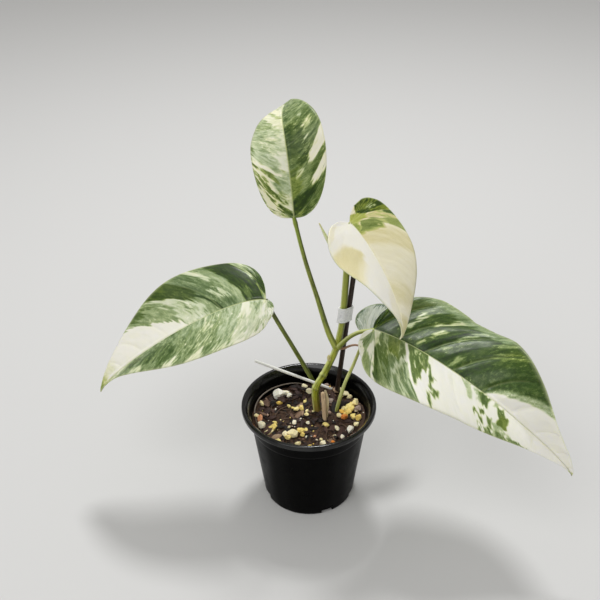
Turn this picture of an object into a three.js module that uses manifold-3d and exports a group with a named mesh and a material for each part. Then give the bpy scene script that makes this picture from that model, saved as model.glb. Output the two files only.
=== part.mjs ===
import * as THREE from 'three';
import { mergeVertices } from 'three/addons/utils/BufferGeometryUtils.js';
import Module from 'manifold-3d';

// A variegated Epipremnum pinnatum growing in a 100 mm black nursery pot, with five leaves,
// a rolled new leaf, a thin stake with a clear tie and a white plastic stick.
// Millimetres, +Z up. The origin is on the table, under the middle of the pot. -Y is the front.

// Space between two pieces that touch
const GAP = 0.3;

// Pot
const POT_HEIGHT = 81;
const RIM_RADIUS = 50;
const BASE_RADIUS = 34.5;
const NECK_RADIUS = 44;
const NECK_HEIGHT = 73;
const BAND_HEIGHT = 64;
const BAND_STEP = 0.5;
const POT_WALL = 1.3;
const POT_FLOOR = 1.6;
const POT_SEGMENTS = 48;
const FOOT_SLOTS = 8;
const SLOT = { width: 9, depth: 6, height: 5 };

// Potting mix
const SOIL_TOP = 66;
const SOIL_RELIEF = 1.4;
const SOIL_HEAP = { at: [19, 32], height: 2.6, spread: 9 };
const SOIL_SEGMENTS = 40;
const SOIL_RINGS = 8;
const SOIL_EDGE_CLEAR = 2.5;
const ROOT_DEPTH = 50;
const SEED = 7;

// Main stem, petioles and what stands beside them: centre lines and diameters
const STEM_PATH = [[6.5, 8, ROOT_DEPTH], [6.5, 8, 66], [5.6, 10, 86], [12, 13, 98], [20.4, 18, 116],
  [24.4, 23, 133], [25.8, 24.3, 149], [27.3, 26, 178]];
const STEM_DIAMETER = 5;
const STEM_BASE_DIAMETER = 6;
const STEM_TOP_DIAMETER = 4.6;
const STEM_NODES = [0.27, 0.36, 0.54, 0.76];
const NODE_SWELL = 1.2;
const NODE_HALF_LENGTH = 0.013;
const BUD = { at: [15.4, 14.2, 110.5], size: [1.5, 1.5, 3.2] };

const PETIOLES = {
  petiole_top: {
    path: [[20.4, 18, 117], [15, 18.6, 130], [7.1, 19.5, 157.9], [-1.9, 21, 189.8], [-9.2, 25, 220.4]],
    diameters: [4.6, 3.9, 3.2, 2.9, 2.7],
  },
  petiole_left: {
    path: [[8, 33.5, ROOT_DEPTH], [5.6, 37.6, 66], [-1.6, 36, 84.8], [-11.4, 33, 107.8],
      [-22.4, 31, 132], [-28.4, 30.2, 146], [-30.4, 30, 151.9]],
    diameters: [3.4, 3.4, 3.4, 3.3, 3.1, 3.2, 2.8],
  },
  petiole_cream: {
    path: [[27.2, 26, 176], [27.6, 26.8, 190], [28, 28, 205], [29.1, 28, 214.6]],
    diameters: [3.6, 3.4, 3.2, 2.8],
  },
  petiole_right: {
    path: [[20.4, 18, 115.5], [25.4, 16, 123.2], [30.4, 13.2, 130.4], [37, 10.6, 136], [46.8, 8, 139.4]],
    diameters: [4.4, 3.6, 3.1, 3, 2.8],
  },
  petiole_small: {
    path: [[19, 5, ROOT_DEPTH], [21.2, 8.2, 66], [27.7, 18, 84.6], [34.1, 27, 94.2], [40, 35, 105.5],
      [44.2, 40, 113.3]],
    diameters: [2.7, 2.8, 2.8, 2.6, 2.3, 2.1],
  },
};

const SPIKE_PATH = [[25.6, 26.2, 180], [19, 27.6, 192], [13, 27.4, 204], [8, 26, 215.5]];
const SPIKE_DIAMETERS = [3, 3.4, 2.6, 0.9];
const STAKE_PATH = [[20.4, 28.3, ROOT_DEPTH], [35, 28, 196]];
const STAKE_DIAMETER = 3.8;
const TIE = { height: 12, middle: 142, thickness: 0.8, slack: 0.5 };
const STICK_PATH = [[22.5, 33.1, 65.4], [-40, 25, 101]];
const STICK_DIAMETER = 2.2;
const STUB_PATH = [[12.4, -3.4, 54], [11.9, -3, 66], [11.2, -2, 79], [10.4, -1, 90.5]];
const STUB_DIAMETERS = [4.6, 5, 4.4, 3.6];
const SHEATH_PATH = [[12.6, -1.4, 64], [14.2, -0.6, 78], [15, 0, 88], [14.2, 0.6, 93.5]];
const SHEATH_DIAMETERS = [1.2, 2, 1.8, 0.8];
const AERIAL_ROOT_PATH = [[22.4, 18.6, 116], [26.4, 19.8, 115.4], [30.7, 22, 115.9], [35.7, 25, 114.6],
  [39.4, 26.6, 111.6]];
const AERIAL_ROOT_DIAMETERS = [2, 1.8, 1.6, 1.5, 1];
const LOOSE_ROOT_PATH = [[-37.5, -8, 65], [-38.2, 5, 68.5], [-33, 21, 69.5], [-21.5, 32.5, 69],
  [-8, 37.5, 68.5], [2, 38, 65]];
const LOOSE_ROOT_DIAMETER = 1.8;

// Blades. The midrib is a cubic curve from the petiole to the tip, and facing gives the way that
// the upper side looks at each end. In each half, lobe, widest, shoulder and taper are fractions
// of the midrib, notch and tip_fullness are fractions of the width, and fold and curl are degrees.
const BLADE_THICKNESS = 0.8;
const MIDRIB_KEEL = 1;
const LOBE_SHARE = 0.42;
const FIRST_VEIN = 0.12;
const VEIN_SLANT = 0.75;
const FAN_VEINS = 5;
const WAVES = 1.6;
const ACROSS = [0, 0.06, 0.22, 0.42, 0.62, 0.82, 1];

const LEAVES = {
  leaf_top: {
    midrib: [[-9.2, 25, 220.4], [-14, 45.5, 289], [-22.5, 62.5, 281], [-10, 103, 277]],
    facing: [[0, -0.96, 0.28], [-0.35, 0.19, 0.92]],
    veins: 13,
    halves: [
      { width: 27, lobe: 0, widest: 0.32, shoulder: 0.44, taper: 0.31, tip_fullness: 0.14, notch: 0.31,
        fold: 15, fold_tip: 25, curl: 25, lobe_lift: 0, wave: -1.3, phase: 1.4 },
      { width: 24.5, lobe: 0, widest: 0.3, shoulder: 0.44, taper: 0.31, tip_fullness: 0.12, notch: 0.44,
        fold: 7, fold_tip: -6, curl: 6, lobe_lift: 0, wave: 3.2, phase: 0.3 },
    ],
  },
  leaf_left: {
    midrib: [[-30.4, 30, 151.9], [-63, 24.5, 159], [-145.5, 6.5, 108], [-156.5, 13, 82.5]],
    facing: [[0.25, -0.26, 0.93], [-0.93, -0.13, 0.35]],
    veins: 16,
    halves: [
      { width: 40, lobe: 0, widest: 0.33, shoulder: 0.38, taper: 0.27, tip_fullness: 0.28, notch: 0.34,
        fold: 11, fold_tip: 32, curl: 2, lobe_lift: 0, wave: -3.5, phase: -0.1 },
      { width: 38.5, lobe: 0.044, widest: 0.33, shoulder: 0.46, taper: 0.42, tip_fullness: 0.04, notch: 0.04,
        fold: 13, fold_tip: 22, curl: 21, lobe_lift: 2.3, wave: -1.7, phase: 2 },
    ],
  },
  leaf_cream: {
    midrib: [[29.1, 28, 214.6], [48, 14, 201], [70, -11.5, 156.5], [60.5, -28.5, 156.5]],
    facing: [[0.35, -0.38, 0.86], [0.86, -0.47, 0.2]],
    veins: 13,
    halves: [
      { width: 33.5, lobe: 0.066, widest: 0.27, shoulder: 0.44, taper: 0.35, tip_fullness: 0.14, notch: 0.35,
        fold: 14, fold_tip: 12, curl: 7, lobe_lift: 1.7, wave: -2.6, phase: -0.2 },
      { width: 34.5, lobe: 0.094, widest: 0.24, shoulder: 0.42, taper: 0.4, tip_fullness: 0.16, notch: 0.27,
        fold: 19, fold_tip: -1, curl: 10, lobe_lift: 2.9, wave: -1.7, phase: 0.3 },
    ],
  },
  leaf_right: {
    midrib: [[46.8, 8, 139.4], [91.5, -7.5, 134], [171, -83.5, 96], [174.5, -75.5, 76.5]],
    facing: [[0.08, -0.12, 0.99], [0.21, -0.91, -0.34]],
    veins: 18,
    halves: [
      { width: 46, lobe: 0.046, widest: 0.18, shoulder: 0.33, taper: 0.55, tip_fullness: 0.07, notch: 0.18,
        fold: 18, fold_tip: 36, curl: 33, lobe_lift: 1.2, wave: -4.5, phase: 0.4 },
      { width: 48, lobe: 0.019, widest: 0.27, shoulder: 0.35, taper: 0.44, tip_fullness: 0.22, notch: 0.05,
        fold: 0, fold_tip: 32, curl: 0, lobe_lift: 0.8, wave: 6.2, phase: 0.7 },
    ],
  },
  leaf_small: {
    midrib: [[44.2, 40, 113.3], [60, 46, 116], [78, 53, 113], [90, 58, 104]],
    facing: [[-0.3, -0.75, 0.6], [-0.1, -0.6, 0.8]],
    veins: 9,
    halves: [
      { width: 16, lobe: 0.05, widest: 0.3, shoulder: 0.4, taper: 0.35, tip_fullness: 0.14, notch: 0.3,
        fold: 8, fold_tip: 12, curl: 12, lobe_lift: 0.5, wave: 0.8, phase: 0.5 },
      { width: 21, lobe: 0.1, widest: 0.28, shoulder: 0.4, taper: 0.35, tip_fullness: 0.14, notch: 0.3,
        fold: 10, fold_tip: 12, curl: 16, lobe_lift: 0.8, wave: 1, phase: 0.3 },
    ],
  },
};

const wasm = await Module();
wasm.setup();

// Closed solid of a geometry whose shared corners are merged
function solidOf(geometry) {
  const plain = geometry.clone();
  plain.deleteAttribute('normal');
  plain.deleteAttribute('uv');
  const merged = mergeVertices(plain, 1e-4);
  return new wasm.Manifold(new wasm.Mesh({
    numProp: 3,
    vertProperties: new Float32Array(merged.attributes.position.array),
    triVerts: new Uint32Array(merged.index.array),
  }));
}

function geometryOf(solid) {
  const mesh = solid.getMesh();
  const geometry = new THREE.BufferGeometry();
  geometry.setAttribute('position', new THREE.BufferAttribute(mesh.vertProperties, 3));
  geometry.setIndex(new THREE.BufferAttribute(mesh.triVerts, 1));
  return geometry;
}

// The largest body of a solid that a cut may have left with scraps
function largestBody(solid) {
  const bodies = solid.decompose();
  return bodies.reduce((best, body) => (body.volume() > best.volume() ? body : best));
}

// The same draws on every run
function seededRandom(seed) {
  let state = seed;
  return () => {
    state = (state * 1664525 + 1013904223) % 4294967296;
    return state / 4294967296;
  };
}

// Value at t of numbers spread evenly from 0 to 1
function spread(values, t) {
  const place = t * (values.length - 1);
  const index = Math.min(Math.floor(place), values.length - 2);
  return THREE.MathUtils.lerp(values[index], values[index + 1], place - index);
}

// A round rod along a smooth curve. Its diameters are spread evenly from end to end, rings are
// places along it that swell, and grow makes it fatter and longer all round.
function rod(path, diameters, { sides = 8, steps = 14, rings = [], swell = 0, grow = 0 } = {}) {
  const curve = new THREE.CatmullRomCurve3(path.map((p) => new THREE.Vector3(...p)), false, 'centripetal');
  const even = Array.from({ length: steps + 1 }, (_, i) => i / steps);
  const ringLevels = rings.flatMap((t) => [-1, -0.4, 0.4, 1].map((k) => t + k * NODE_HALF_LENGTH));
  const clear = even.filter((t) => rings.every((ring) => Math.abs(t - ring) > 1.5 * NODE_HALF_LENGTH));
  const levels = [...clear, ...ringLevels].sort((a, b) => a - b);
  const fine = 400;
  const frames = curve.computeFrenetFrames(fine, false);
  const geometry = new THREE.CylinderGeometry(1, 1, 1, sides, levels.length - 1);
  const position = geometry.attributes.position;
  for (let i = 0; i < position.count; i++) {
    const level = Math.round((position.getY(i) + 0.5) * (levels.length - 1));
    const t = levels[level];
    const inRing = rings.some((ring) => Math.abs(t - ring) < 0.5 * NODE_HALF_LENGTH);
    const radius = (spread(diameters, t) + (inRing ? swell : 0)) / 2 + grow;
    const frame = Math.round(t * fine);
    const point = curve.getPointAt(t)
      .addScaledVector(frames.binormals[frame], position.getX(i) * radius)
      .addScaledVector(frames.normals[frame], position.getZ(i) * radius);
    const ends = { 0: -grow, [levels.length - 1]: grow };
    point.addScaledVector(frames.tangents[frame], ends[level] ?? 0);
    position.setXYZ(i, point.x, point.y, point.z);
  }
  return solidOf(geometry);
}

// A rod's body with what stands in its way taken off
function seated(body, blockers) {
  return largestBody(blockers.reduce((rest, blocker) => rest.subtract(blocker), body));
}

// Pot

function wallRadius(height) {
  return THREE.MathUtils.lerp(BASE_RADIUS, NECK_RADIUS, height / NECK_HEIGHT);
}

function potSolid() {
  const rimInner = RIM_RADIUS - 4.6;
  const profile = [
    [0, 0], [BASE_RADIUS - 1.5, 0], [BASE_RADIUS, 1.5],
    [wallRadius(BAND_HEIGHT), BAND_HEIGHT], [wallRadius(BAND_HEIGHT) + BAND_STEP, BAND_HEIGHT + 0.8],
    [NECK_RADIUS + BAND_STEP, NECK_HEIGHT], [NECK_RADIUS + 2.2, NECK_HEIGHT + 2.4],
    [RIM_RADIUS - 1.2, POT_HEIGHT - 4], [RIM_RADIUS, POT_HEIGHT - 2.6], [RIM_RADIUS - 0.1, POT_HEIGHT - 0.9],
    [RIM_RADIUS - 1, POT_HEIGHT], [RIM_RADIUS - 2.6, POT_HEIGHT - 0.2], [rimInner, POT_HEIGHT - 2],
    [NECK_RADIUS - 0.4, NECK_HEIGHT + 2.4], [NECK_RADIUS - POT_WALL, NECK_HEIGHT],
    [BASE_RADIUS - POT_WALL, POT_FLOOR], [0, POT_FLOOR],
  ];
  const points = profile.map(([radius, height]) => new THREE.Vector2(radius, height));
  const lathe = new THREE.LatheGeometry(points, POT_SEGMENTS).rotateX(Math.PI / 2);
  let pot = solidOf(lathe);
  for (let i = 0; i < FOOT_SLOTS; i++) {
    const box = new THREE.BoxGeometry(SLOT.depth, SLOT.width, 2 * SLOT.height);
    box.translate(BASE_RADIUS, 0, 0).rotateZ(((i + 0.5) / FOOT_SLOTS) * 2 * Math.PI);
    pot = pot.subtract(solidOf(box));
  }
  return pot;
}

// Potting mix

function soilHeight(x, y) {
  const waves = Math.sin(x * 0.31 + 1) * Math.cos(y * 0.27) + 0.6 * Math.sin(x * 0.13 - y * 0.41);
  const fromHeap = Math.hypot(x - SOIL_HEAP.at[0], y - SOIL_HEAP.at[1]) / SOIL_HEAP.spread;
  return SOIL_TOP + SOIL_RELIEF * 0.6 * waves + SOIL_HEAP.height * Math.exp(-fromHeap * fromHeap);
}

function soilBed() {
  const inner = (height) => wallRadius(height) - POT_WALL - GAP;
  const edge = SOIL_TOP - 1;
  const top = Array.from({ length: SOIL_RINGS }, (_, i) => inner(edge) * (1 - (i + 0.5) / SOIL_RINGS));
  const profile = [[0, POT_FLOOR + GAP], [inner(POT_FLOOR) - GAP, POT_FLOOR + GAP], [inner(edge), edge],
    ...top.map((radius) => [radius, SOIL_TOP]), [0, SOIL_TOP]];
  const points = profile.map(([radius, height]) => new THREE.Vector2(radius, height));
  const geometry = new THREE.LatheGeometry(points, SOIL_SEGMENTS).rotateX(Math.PI / 2);
  const position = geometry.attributes.position;
  for (let i = 0; i < position.count; i++) {
    if (position.getZ(i) > edge + 0.5) {
      position.setZ(i, soilHeight(position.getX(i), position.getY(i)));
    }
  }
  return solidOf(geometry);
}

// Perlite and bark bits, sunk into the mix: named spots first, then scattered ones
const PERLITE_SPOTS = [
  { at: [-22.8, 29, 5], bits: 2, size: 4.6 }, { at: [-15, 25, 3], bits: 1, size: 3 },
  { at: [31, 11, 5], bits: 6, size: 3.2 }, { at: [35, -3, 3], bits: 2, size: 3 },
  { at: [26, 1, 2], bits: 2, size: 2.8 }, { at: [-29, -14, 5], bits: 4, size: 3.2 },
  { at: [-16, -22, 4], bits: 4, size: 3 }, { at: [-5, -19, 3], bits: 2, size: 2.8 },
  { at: [-34, -5, 3], bits: 2, size: 2.8 }, { at: [12, -9, 1], bits: 1, size: 2.6 },
  { at: [-3, 33, 4], bits: 2, size: 2.6 }, { at: [29, 26, 3], bits: 2, size: 2.4 },
];
const BARK_CHIPS = 24;
const LOOSE_PERLITE = 12;

function bit(geometry, x, y, size, random) {
  geometry.scale(size * (0.8 + 0.5 * random()), size * (0.6 + 0.4 * random()), size * 0.7);
  geometry.rotateX(random() - 0.5).rotateY(random() - 0.5).rotateZ(random() * Math.PI);
  geometry.translate(x, y, soilHeight(x, y) + size * 0.1);
  return solidOf(geometry);
}

function soilBits() {
  const random = seededRandom(SEED);
  const reach = wallRadius(SOIL_TOP) - POT_WALL - SOIL_EDGE_CLEAR;
  const placed = (x, y, size) => {
    const limit = reach - size;
    const shrink = Math.min(1, limit / Math.hypot(x, y));
    return [x * shrink, y * shrink];
  };
  const bits = [];
  for (const spot of PERLITE_SPOTS) {
    for (let i = 0; i < spot.bits; i++) {
      const turn = random() * 2 * Math.PI;
      const away = Math.sqrt(random()) * spot.at[2];
      const size = (spot.size * (0.8 + 0.4 * random())) / 2;
      const [x, y] = placed(spot.at[0] + away * Math.cos(turn), spot.at[1] + away * Math.sin(turn), size);
      bits.push(bit(new THREE.OctahedronGeometry(1.2, 0), x, y, size, random));
    }
  }
  for (let i = 0; i < BARK_CHIPS + LOOSE_PERLITE; i++) {
    const bark = i < BARK_CHIPS;
    const size = bark ? 2 + 2 * random() : 0.8 + 0.7 * random();
    const turn = random() * 2 * Math.PI;
    const away = Math.sqrt(random()) * reach;
    const [x, y] = placed(away * Math.cos(turn), away * Math.sin(turn), size * 1.4);
    const shape = bark ? new THREE.BoxGeometry(2, 1.3, 1.2) : new THREE.OctahedronGeometry(1.2, 0);
    bits.push(bit(shape, x, y, size, random));
  }
  return bits;
}

// Blades

function blend(from, to, t) {
  return from + (to - from) * t;
}

// Edge of one half: place along the midrib as a fraction, and distance from it
function bladeEdge(half, share) {
  const back = -half.lobe / 0.7;
  const rest = 1 - half.widest;
  const lobe = new THREE.CubicBezierCurve(
    new THREE.Vector2(0, 0), new THREE.Vector2(back, half.notch * half.width),
    new THREE.Vector2(back, half.width), new THREE.Vector2(half.widest, half.width));
  const flank = new THREE.CubicBezierCurve(
    new THREE.Vector2(half.widest, half.width), new THREE.Vector2(half.widest + half.shoulder * rest, half.width),
    new THREE.Vector2(1 - half.taper * rest, half.tip_fullness * half.width), new THREE.Vector2(1, 0));
  return share < LOBE_SHARE
    ? lobe.getPoint(share / LOBE_SHARE)
    : flank.getPoint((share - LOBE_SHARE) / (1 - LOBE_SHARE));
}

// Point of the midrib with the blade's own directions there
function midribFrame(leaf, along) {
  const inside = THREE.MathUtils.clamp(along, 0, 1);
  const forward = leaf.curve.getTangent(inside);
  const point = leaf.curve.getPoint(inside).addScaledVector(forward, Math.min(along, 0) * leaf.length);
  const turn = inside * inside * (3 - 2 * inside);
  const start = new THREE.Vector3(...leaf.facing[0]).normalize();
  const up = start.lerp(new THREE.Vector3(...leaf.facing[1]).normalize(), turn);
  up.addScaledVector(forward, -up.dot(forward)).normalize();
  const aside = new THREE.Vector3().crossVectors(forward, up);
  return { point, up, aside };
}

function bladePoint(leaf, side, along, across) {
  const half = leaf.halves[side > 0 ? 0 : 1];
  const inside = THREE.MathUtils.clamp(along, 0, 1);
  const fold = THREE.MathUtils.degToRad(blend(half.fold, half.fold_tip, inside));
  const bend = THREE.MathUtils.degToRad(Math.max(half.curl, 0.01)) / half.width;
  const out = (Math.sin(fold) - Math.sin(fold - bend * across)) / bend;
  const share = across / half.width;
  const lobe = along < 0 ? half.lobe_lift * (along / Math.max(half.lobe, 0.02)) ** 2 : 0;
  const wave = half.wave * share * share * Math.sin(2 * Math.PI * WAVES * along + half.phase);
  const rise = (Math.cos(fold - bend * across) - Math.cos(fold)) / bend + lobe + wave;
  const { point, up, aside } = midribFrame(leaf, along);
  return point.addScaledVector(aside, side * out).addScaledVector(up, rise);
}

function bladeNormal(leaf, side, along, across) {
  const step = 0.004;
  const ahead = bladePoint(leaf, side, along + step, across).sub(bladePoint(leaf, side, along - step, across));
  const wide = bladePoint(leaf, side, along, across + 0.2)
    .sub(bladePoint(leaf, side, along, Math.max(across - 0.2, 0)));
  return wide.cross(ahead).multiplyScalar(side).normalize();
}

// Where the vein that ends at this share of the edge leaves the midrib
function veinRoot(leaf, half, share) {
  const edge = bladeEdge(half, share);
  return edge.x - (VEIN_SLANT * edge.y) / leaf.length;
}

function shareOfVein(leaf, half, root) {
  let low = 0.2;
  let high = 1;
  for (let i = 0; i < 40; i++) {
    const middle = (low + high) / 2;
    if (veinRoot(leaf, half, middle) < root) {
      low = middle;
    } else {
      high = middle;
    }
  }
  return high;
}

// Rows of places from the midrib to the edge: the first follows the edge, then come veins
function halfRows(leaf, half) {
  const along = (edge, root, r) => [
    (1 - r) ** 2 * root + 2 * (1 - r) * r * blend(root, edge.x, 0.25) + r * r * edge.x,
    2 * (1 - r) * r * 0.6 * edge.y + r * r * edge.y,
  ];
  const first = ACROSS.map((r) => bladeEdge(half, FIRST_VEIN * r).toArray());
  const fanEnd = shareOfVein(leaf, half, 0);
  const rows = [first];
  for (let i = 1; i <= FAN_VEINS; i++) {
    const edge = bladeEdge(half, blend(FIRST_VEIN, fanEnd, i / FAN_VEINS));
    rows.push(ACROSS.map((r) => along(edge, 0, r)));
  }
  for (let i = 1; i < leaf.veins; i++) {
    const root = i / leaf.veins;
    const edge = bladeEdge(half, shareOfVein(leaf, half, root));
    rows.push(ACROSS.map((r) => along(edge, root, r)));
  }
  return rows;
}

// Closed blade: an upper and a lower face, split alike, with the edge between them
function bladeGeometry(leaf, grow = 0) {
  const upper = [];
  const lower = [];
  const triangles = [];
  const thickness = BLADE_THICKNESS / 2 + grow;
  const addPoint = (point, normal, keel) => {
    upper.push(point.clone().addScaledVector(normal, thickness));
    lower.push(point.clone().addScaledVector(normal, -thickness - keel));
    return upper.length - 1;
  };
  const spine = Array.from({ length: leaf.veins + 1 }, (_, i) => {
    const { point, up } = midribFrame(leaf, i / leaf.veins);
    return addPoint(point, up, MIDRIB_KEEL * (1 - i / leaf.veins));
  });
  const loop = [];
  for (const side of [1, -1]) {
    const half = leaf.halves[side > 0 ? 0 : 1];
    const rows = halfRows(leaf, half).map((row, i) => row.map(([along, across], k) => {
      if (k === 0) {
        return spine[Math.max(i - FAN_VEINS, 0)];
      }
      return addPoint(bladePoint(leaf, side, along, across), bladeNormal(leaf, side, along, across), 0);
    }));
    const tip = spine[leaf.veins];
    const face = (a, b, c) => {
      if (a !== b && b !== c && c !== a) {
        triangles.push(side > 0 ? [a, b, c] : [a, c, b]);
      }
    };
    for (let i = 0; i < rows.length - 1; i++) {
      for (let k = 0; k < ACROSS.length - 1; k++) {
        face(rows[i][k], rows[i][k + 1], rows[i + 1][k + 1]);
        face(rows[i][k], rows[i + 1][k + 1], rows[i + 1][k]);
      }
    }
    const last = rows[rows.length - 1];
    for (let k = 0; k < ACROSS.length - 1; k++) {
      face(last[k], last[k + 1], tip);
    }
    const edge = [...rows[0].slice(1), ...rows.slice(1).map((row) => row[ACROSS.length - 1])];
    loop.push(...(side > 0 ? [spine[0], ...edge, tip] : edge.reverse()));
  }
  const count = upper.length;
  const index = triangles.flatMap(([a, b, c]) => [a, b, c, a + count, c + count, b + count]);
  loop.forEach((a, i) => {
    const b = loop[(i + 1) % loop.length];
    index.push(a, a + count, b, b, a + count, b + count);
  });
  const geometry = new THREE.BufferGeometry().setFromPoints([...upper, ...lower]);
  geometry.setIndex(index);
  return geometry;
}

function leafWithCurve(leaf) {
  const curve = new THREE.CubicBezierCurve3(...leaf.midrib.map((p) => new THREE.Vector3(...p)));
  return { ...leaf, curve, length: curve.getLength() };
}

// Space that a petiole leaves free at the foot of its blade
function bladeClearance(leaf) {
  const knob = new THREE.SphereGeometry(BLADE_THICKNESS / 2 + MIDRIB_KEEL + GAP, 12, 8);
  knob.translate(...leaf.midrib[0]);
  return solidOf(bladeGeometry(leaf, GAP)).add(solidOf(knob));
}

// Tie: a band round the stem and the stake, in their own slanted direction

function pathPointAt(path, height) {
  const index = path.findIndex((point, i) => i < path.length - 1 && path[i + 1][2] >= height);
  const [low, high] = [path[index], path[index + 1]];
  const t = (height - low[2]) / (high[2] - low[2]);
  return new THREE.Vector2(blend(low[0], high[0], t), blend(low[1], high[1], t));
}

// Outline of a band drawn tight round two circles
function bandOutline(first, firstRadius, second, secondRadius, Kind) {
  const line = second.clone().sub(first);
  const turn = Math.acos((firstRadius - secondRadius) / line.length());
  const angle = line.angle();
  const outline = new Kind();
  outline.absarc(second.x, second.y, secondRadius, angle - turn, angle + turn, false);
  outline.absarc(first.x, first.y, firstRadius, angle + turn, angle - turn + 2 * Math.PI, false);
  outline.closePath();
  return outline;
}

function tieSolid(blockers) {
  const stem = pathPointAt(STEM_PATH, TIE.middle);
  const stake = pathPointAt(STAKE_PATH, TIE.middle);
  const radii = [STEM_TOP_DIAMETER / 2 + TIE.slack, STAKE_DIAMETER / 2 + TIE.slack];
  const outer = bandOutline(stem, radii[0] + TIE.thickness, stake, radii[1] + TIE.thickness, THREE.Shape);
  outer.holes.push(bandOutline(stem, radii[0], stake, radii[1], THREE.Path));
  const band = new THREE.ExtrudeGeometry(outer, { depth: TIE.height, bevelEnabled: false, curveSegments: 12 });
  band.translate(0, 0, TIE.middle - TIE.height / 2);
  const lean = (STAKE_PATH[1][0] - STAKE_PATH[0][0]) / (STAKE_PATH[1][2] - STAKE_PATH[0][2]);
  const shear = new THREE.Matrix4().set(1, 0, lean, -lean * TIE.middle, 0, 1, 0, 0, 0, 0, 1, 0, 0, 0, 0, 1);
  return seated(solidOf(band.applyMatrix4(shear)), blockers);
}

// The whole plant

const COLOURS = {
  pot: [0x0d0e0f, 0.5], potting_mix: [0x3b2a23, 0.95], main_stem: [0x8a9a3c, 0.5],
  petiole_top: [0x7d8f38, 0.45], petiole_left: [0x7d9a3a, 0.45], petiole_cream: [0xa9b56a, 0.45],
  petiole_right: [0x76893a, 0.45], petiole_small: [0x93a468, 0.5], leaf_top: [0x6f8a55, 0.4],
  leaf_left: [0x7b9c68, 0.4], leaf_cream: [0xefead0, 0.45], leaf_right: [0x5d8746, 0.4],
  leaf_small: [0x8fa596, 0.35], new_leaf_spike: [0xc9cf9a, 0.5], stake: [0x241a14, 0.6],
  stake_tie: [0xdedede, 0.4], white_stick: [0xf2f1ea, 0.45], dry_stub: [0xc2a079, 0.85],
  aerial_root: [0x8a5a40, 0.7],
};

const plant = new THREE.Group();

function addPiece(name, geometry) {
  const [color, roughness] = COLOURS[name];
  const material = new THREE.MeshStandardMaterial({ color, roughness, metalness: 0 });
  const mesh = new THREE.Mesh(geometry, material);
  mesh.name = name;
  plant.add(mesh);
}

function stemSolid(grow = 0) {
  const diameters = [STEM_BASE_DIAMETER, STEM_BASE_DIAMETER, STEM_DIAMETER, STEM_DIAMETER, STEM_TOP_DIAMETER,
    STEM_TOP_DIAMETER, STEM_TOP_DIAMETER - 0.4];
  const options = { sides: 10, steps: 26, rings: STEM_NODES, swell: NODE_SWELL, grow };
  const bud = new THREE.IcosahedronGeometry(1, 1).scale(...BUD.size.map((size) => size + grow));
  return rod(STEM_PATH, diameters, options).add(solidOf(bud.translate(...BUD.at)));
}

function petioleSolid(name, grow = 0) {
  const { path, diameters } = PETIOLES[name];
  return rod(path, diameters, { grow });
}

function straightRod(path, diameter, grow = 0) {
  return rod(path, [diameter, diameter], { steps: 1, grow });
}

function stubSolid(grow = 0) {
  return rod(STUB_PATH, STUB_DIAMETERS, { steps: 8, grow })
    .add(rod(SHEATH_PATH, SHEATH_DIAMETERS, { sides: 6, steps: 8, grow }));
}

const leaves = Object.fromEntries(Object.entries(LEAVES).map(([name, leaf]) => [name, leafWithCurve(leaf)]));
const leafOfPetiole = (name) => leaves[name.replace('petiole', 'leaf')];
const stemSpace = stemSolid(GAP);
const stakeSpace = straightRod(STAKE_PATH, STAKE_DIAMETER, GAP);
const stickSpace = straightRod(STICK_PATH, STICK_DIAMETER, GAP);

addPiece('pot', geometryOf(potSolid()));

let soil = soilBed();
for (const piece of soilBits()) {
  soil = soil.add(piece);
}
soil = soil.add(rod(LOOSE_ROOT_PATH, [LOOSE_ROOT_DIAMETER, LOOSE_ROOT_DIAMETER], { sides: 6, steps: 18 }));
const standing = [stemSpace, stakeSpace, stickSpace, stubSolid(GAP), petioleSolid('petiole_left', GAP),
  petioleSolid('petiole_small', GAP)];
addPiece('potting_mix', geometryOf(seated(soil, standing)));

addPiece('main_stem', geometryOf(stemSolid()));
for (const name of Object.keys(PETIOLES)) {
  const blockers = [bladeClearance(leafOfPetiole(name)), stemSpace, stakeSpace];
  addPiece(name, geometryOf(seated(petioleSolid(name), blockers)));
}
for (const [name, leaf] of Object.entries(leaves)) {
  addPiece(name, bladeGeometry(leaf));
}
const spike = rod(SPIKE_PATH, SPIKE_DIAMETERS, { steps: 10 });
addPiece('new_leaf_spike', geometryOf(seated(spike, [stemSpace, petioleSolid('petiole_cream', GAP)])));
addPiece('stake', geometryOf(straightRod(STAKE_PATH, STAKE_DIAMETER)));
addPiece('stake_tie', geometryOf(tieSolid([stemSpace, stakeSpace])));
addPiece('white_stick', geometryOf(straightRod(STICK_PATH, STICK_DIAMETER)));
addPiece('dry_stub', geometryOf(seated(stubSolid(), [stemSpace])));
const aerialRoot = rod(AERIAL_ROOT_PATH, AERIAL_ROOT_DIAMETERS, { sides: 6, steps: 10 });
addPiece('aerial_root', geometryOf(seated(aerialRoot, [stemSpace, petioleSolid('petiole_right', GAP)])));

export default plant;
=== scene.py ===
import math

import bmesh
import bpy
import numpy as np
from mathutils import Matrix, Vector


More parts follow.
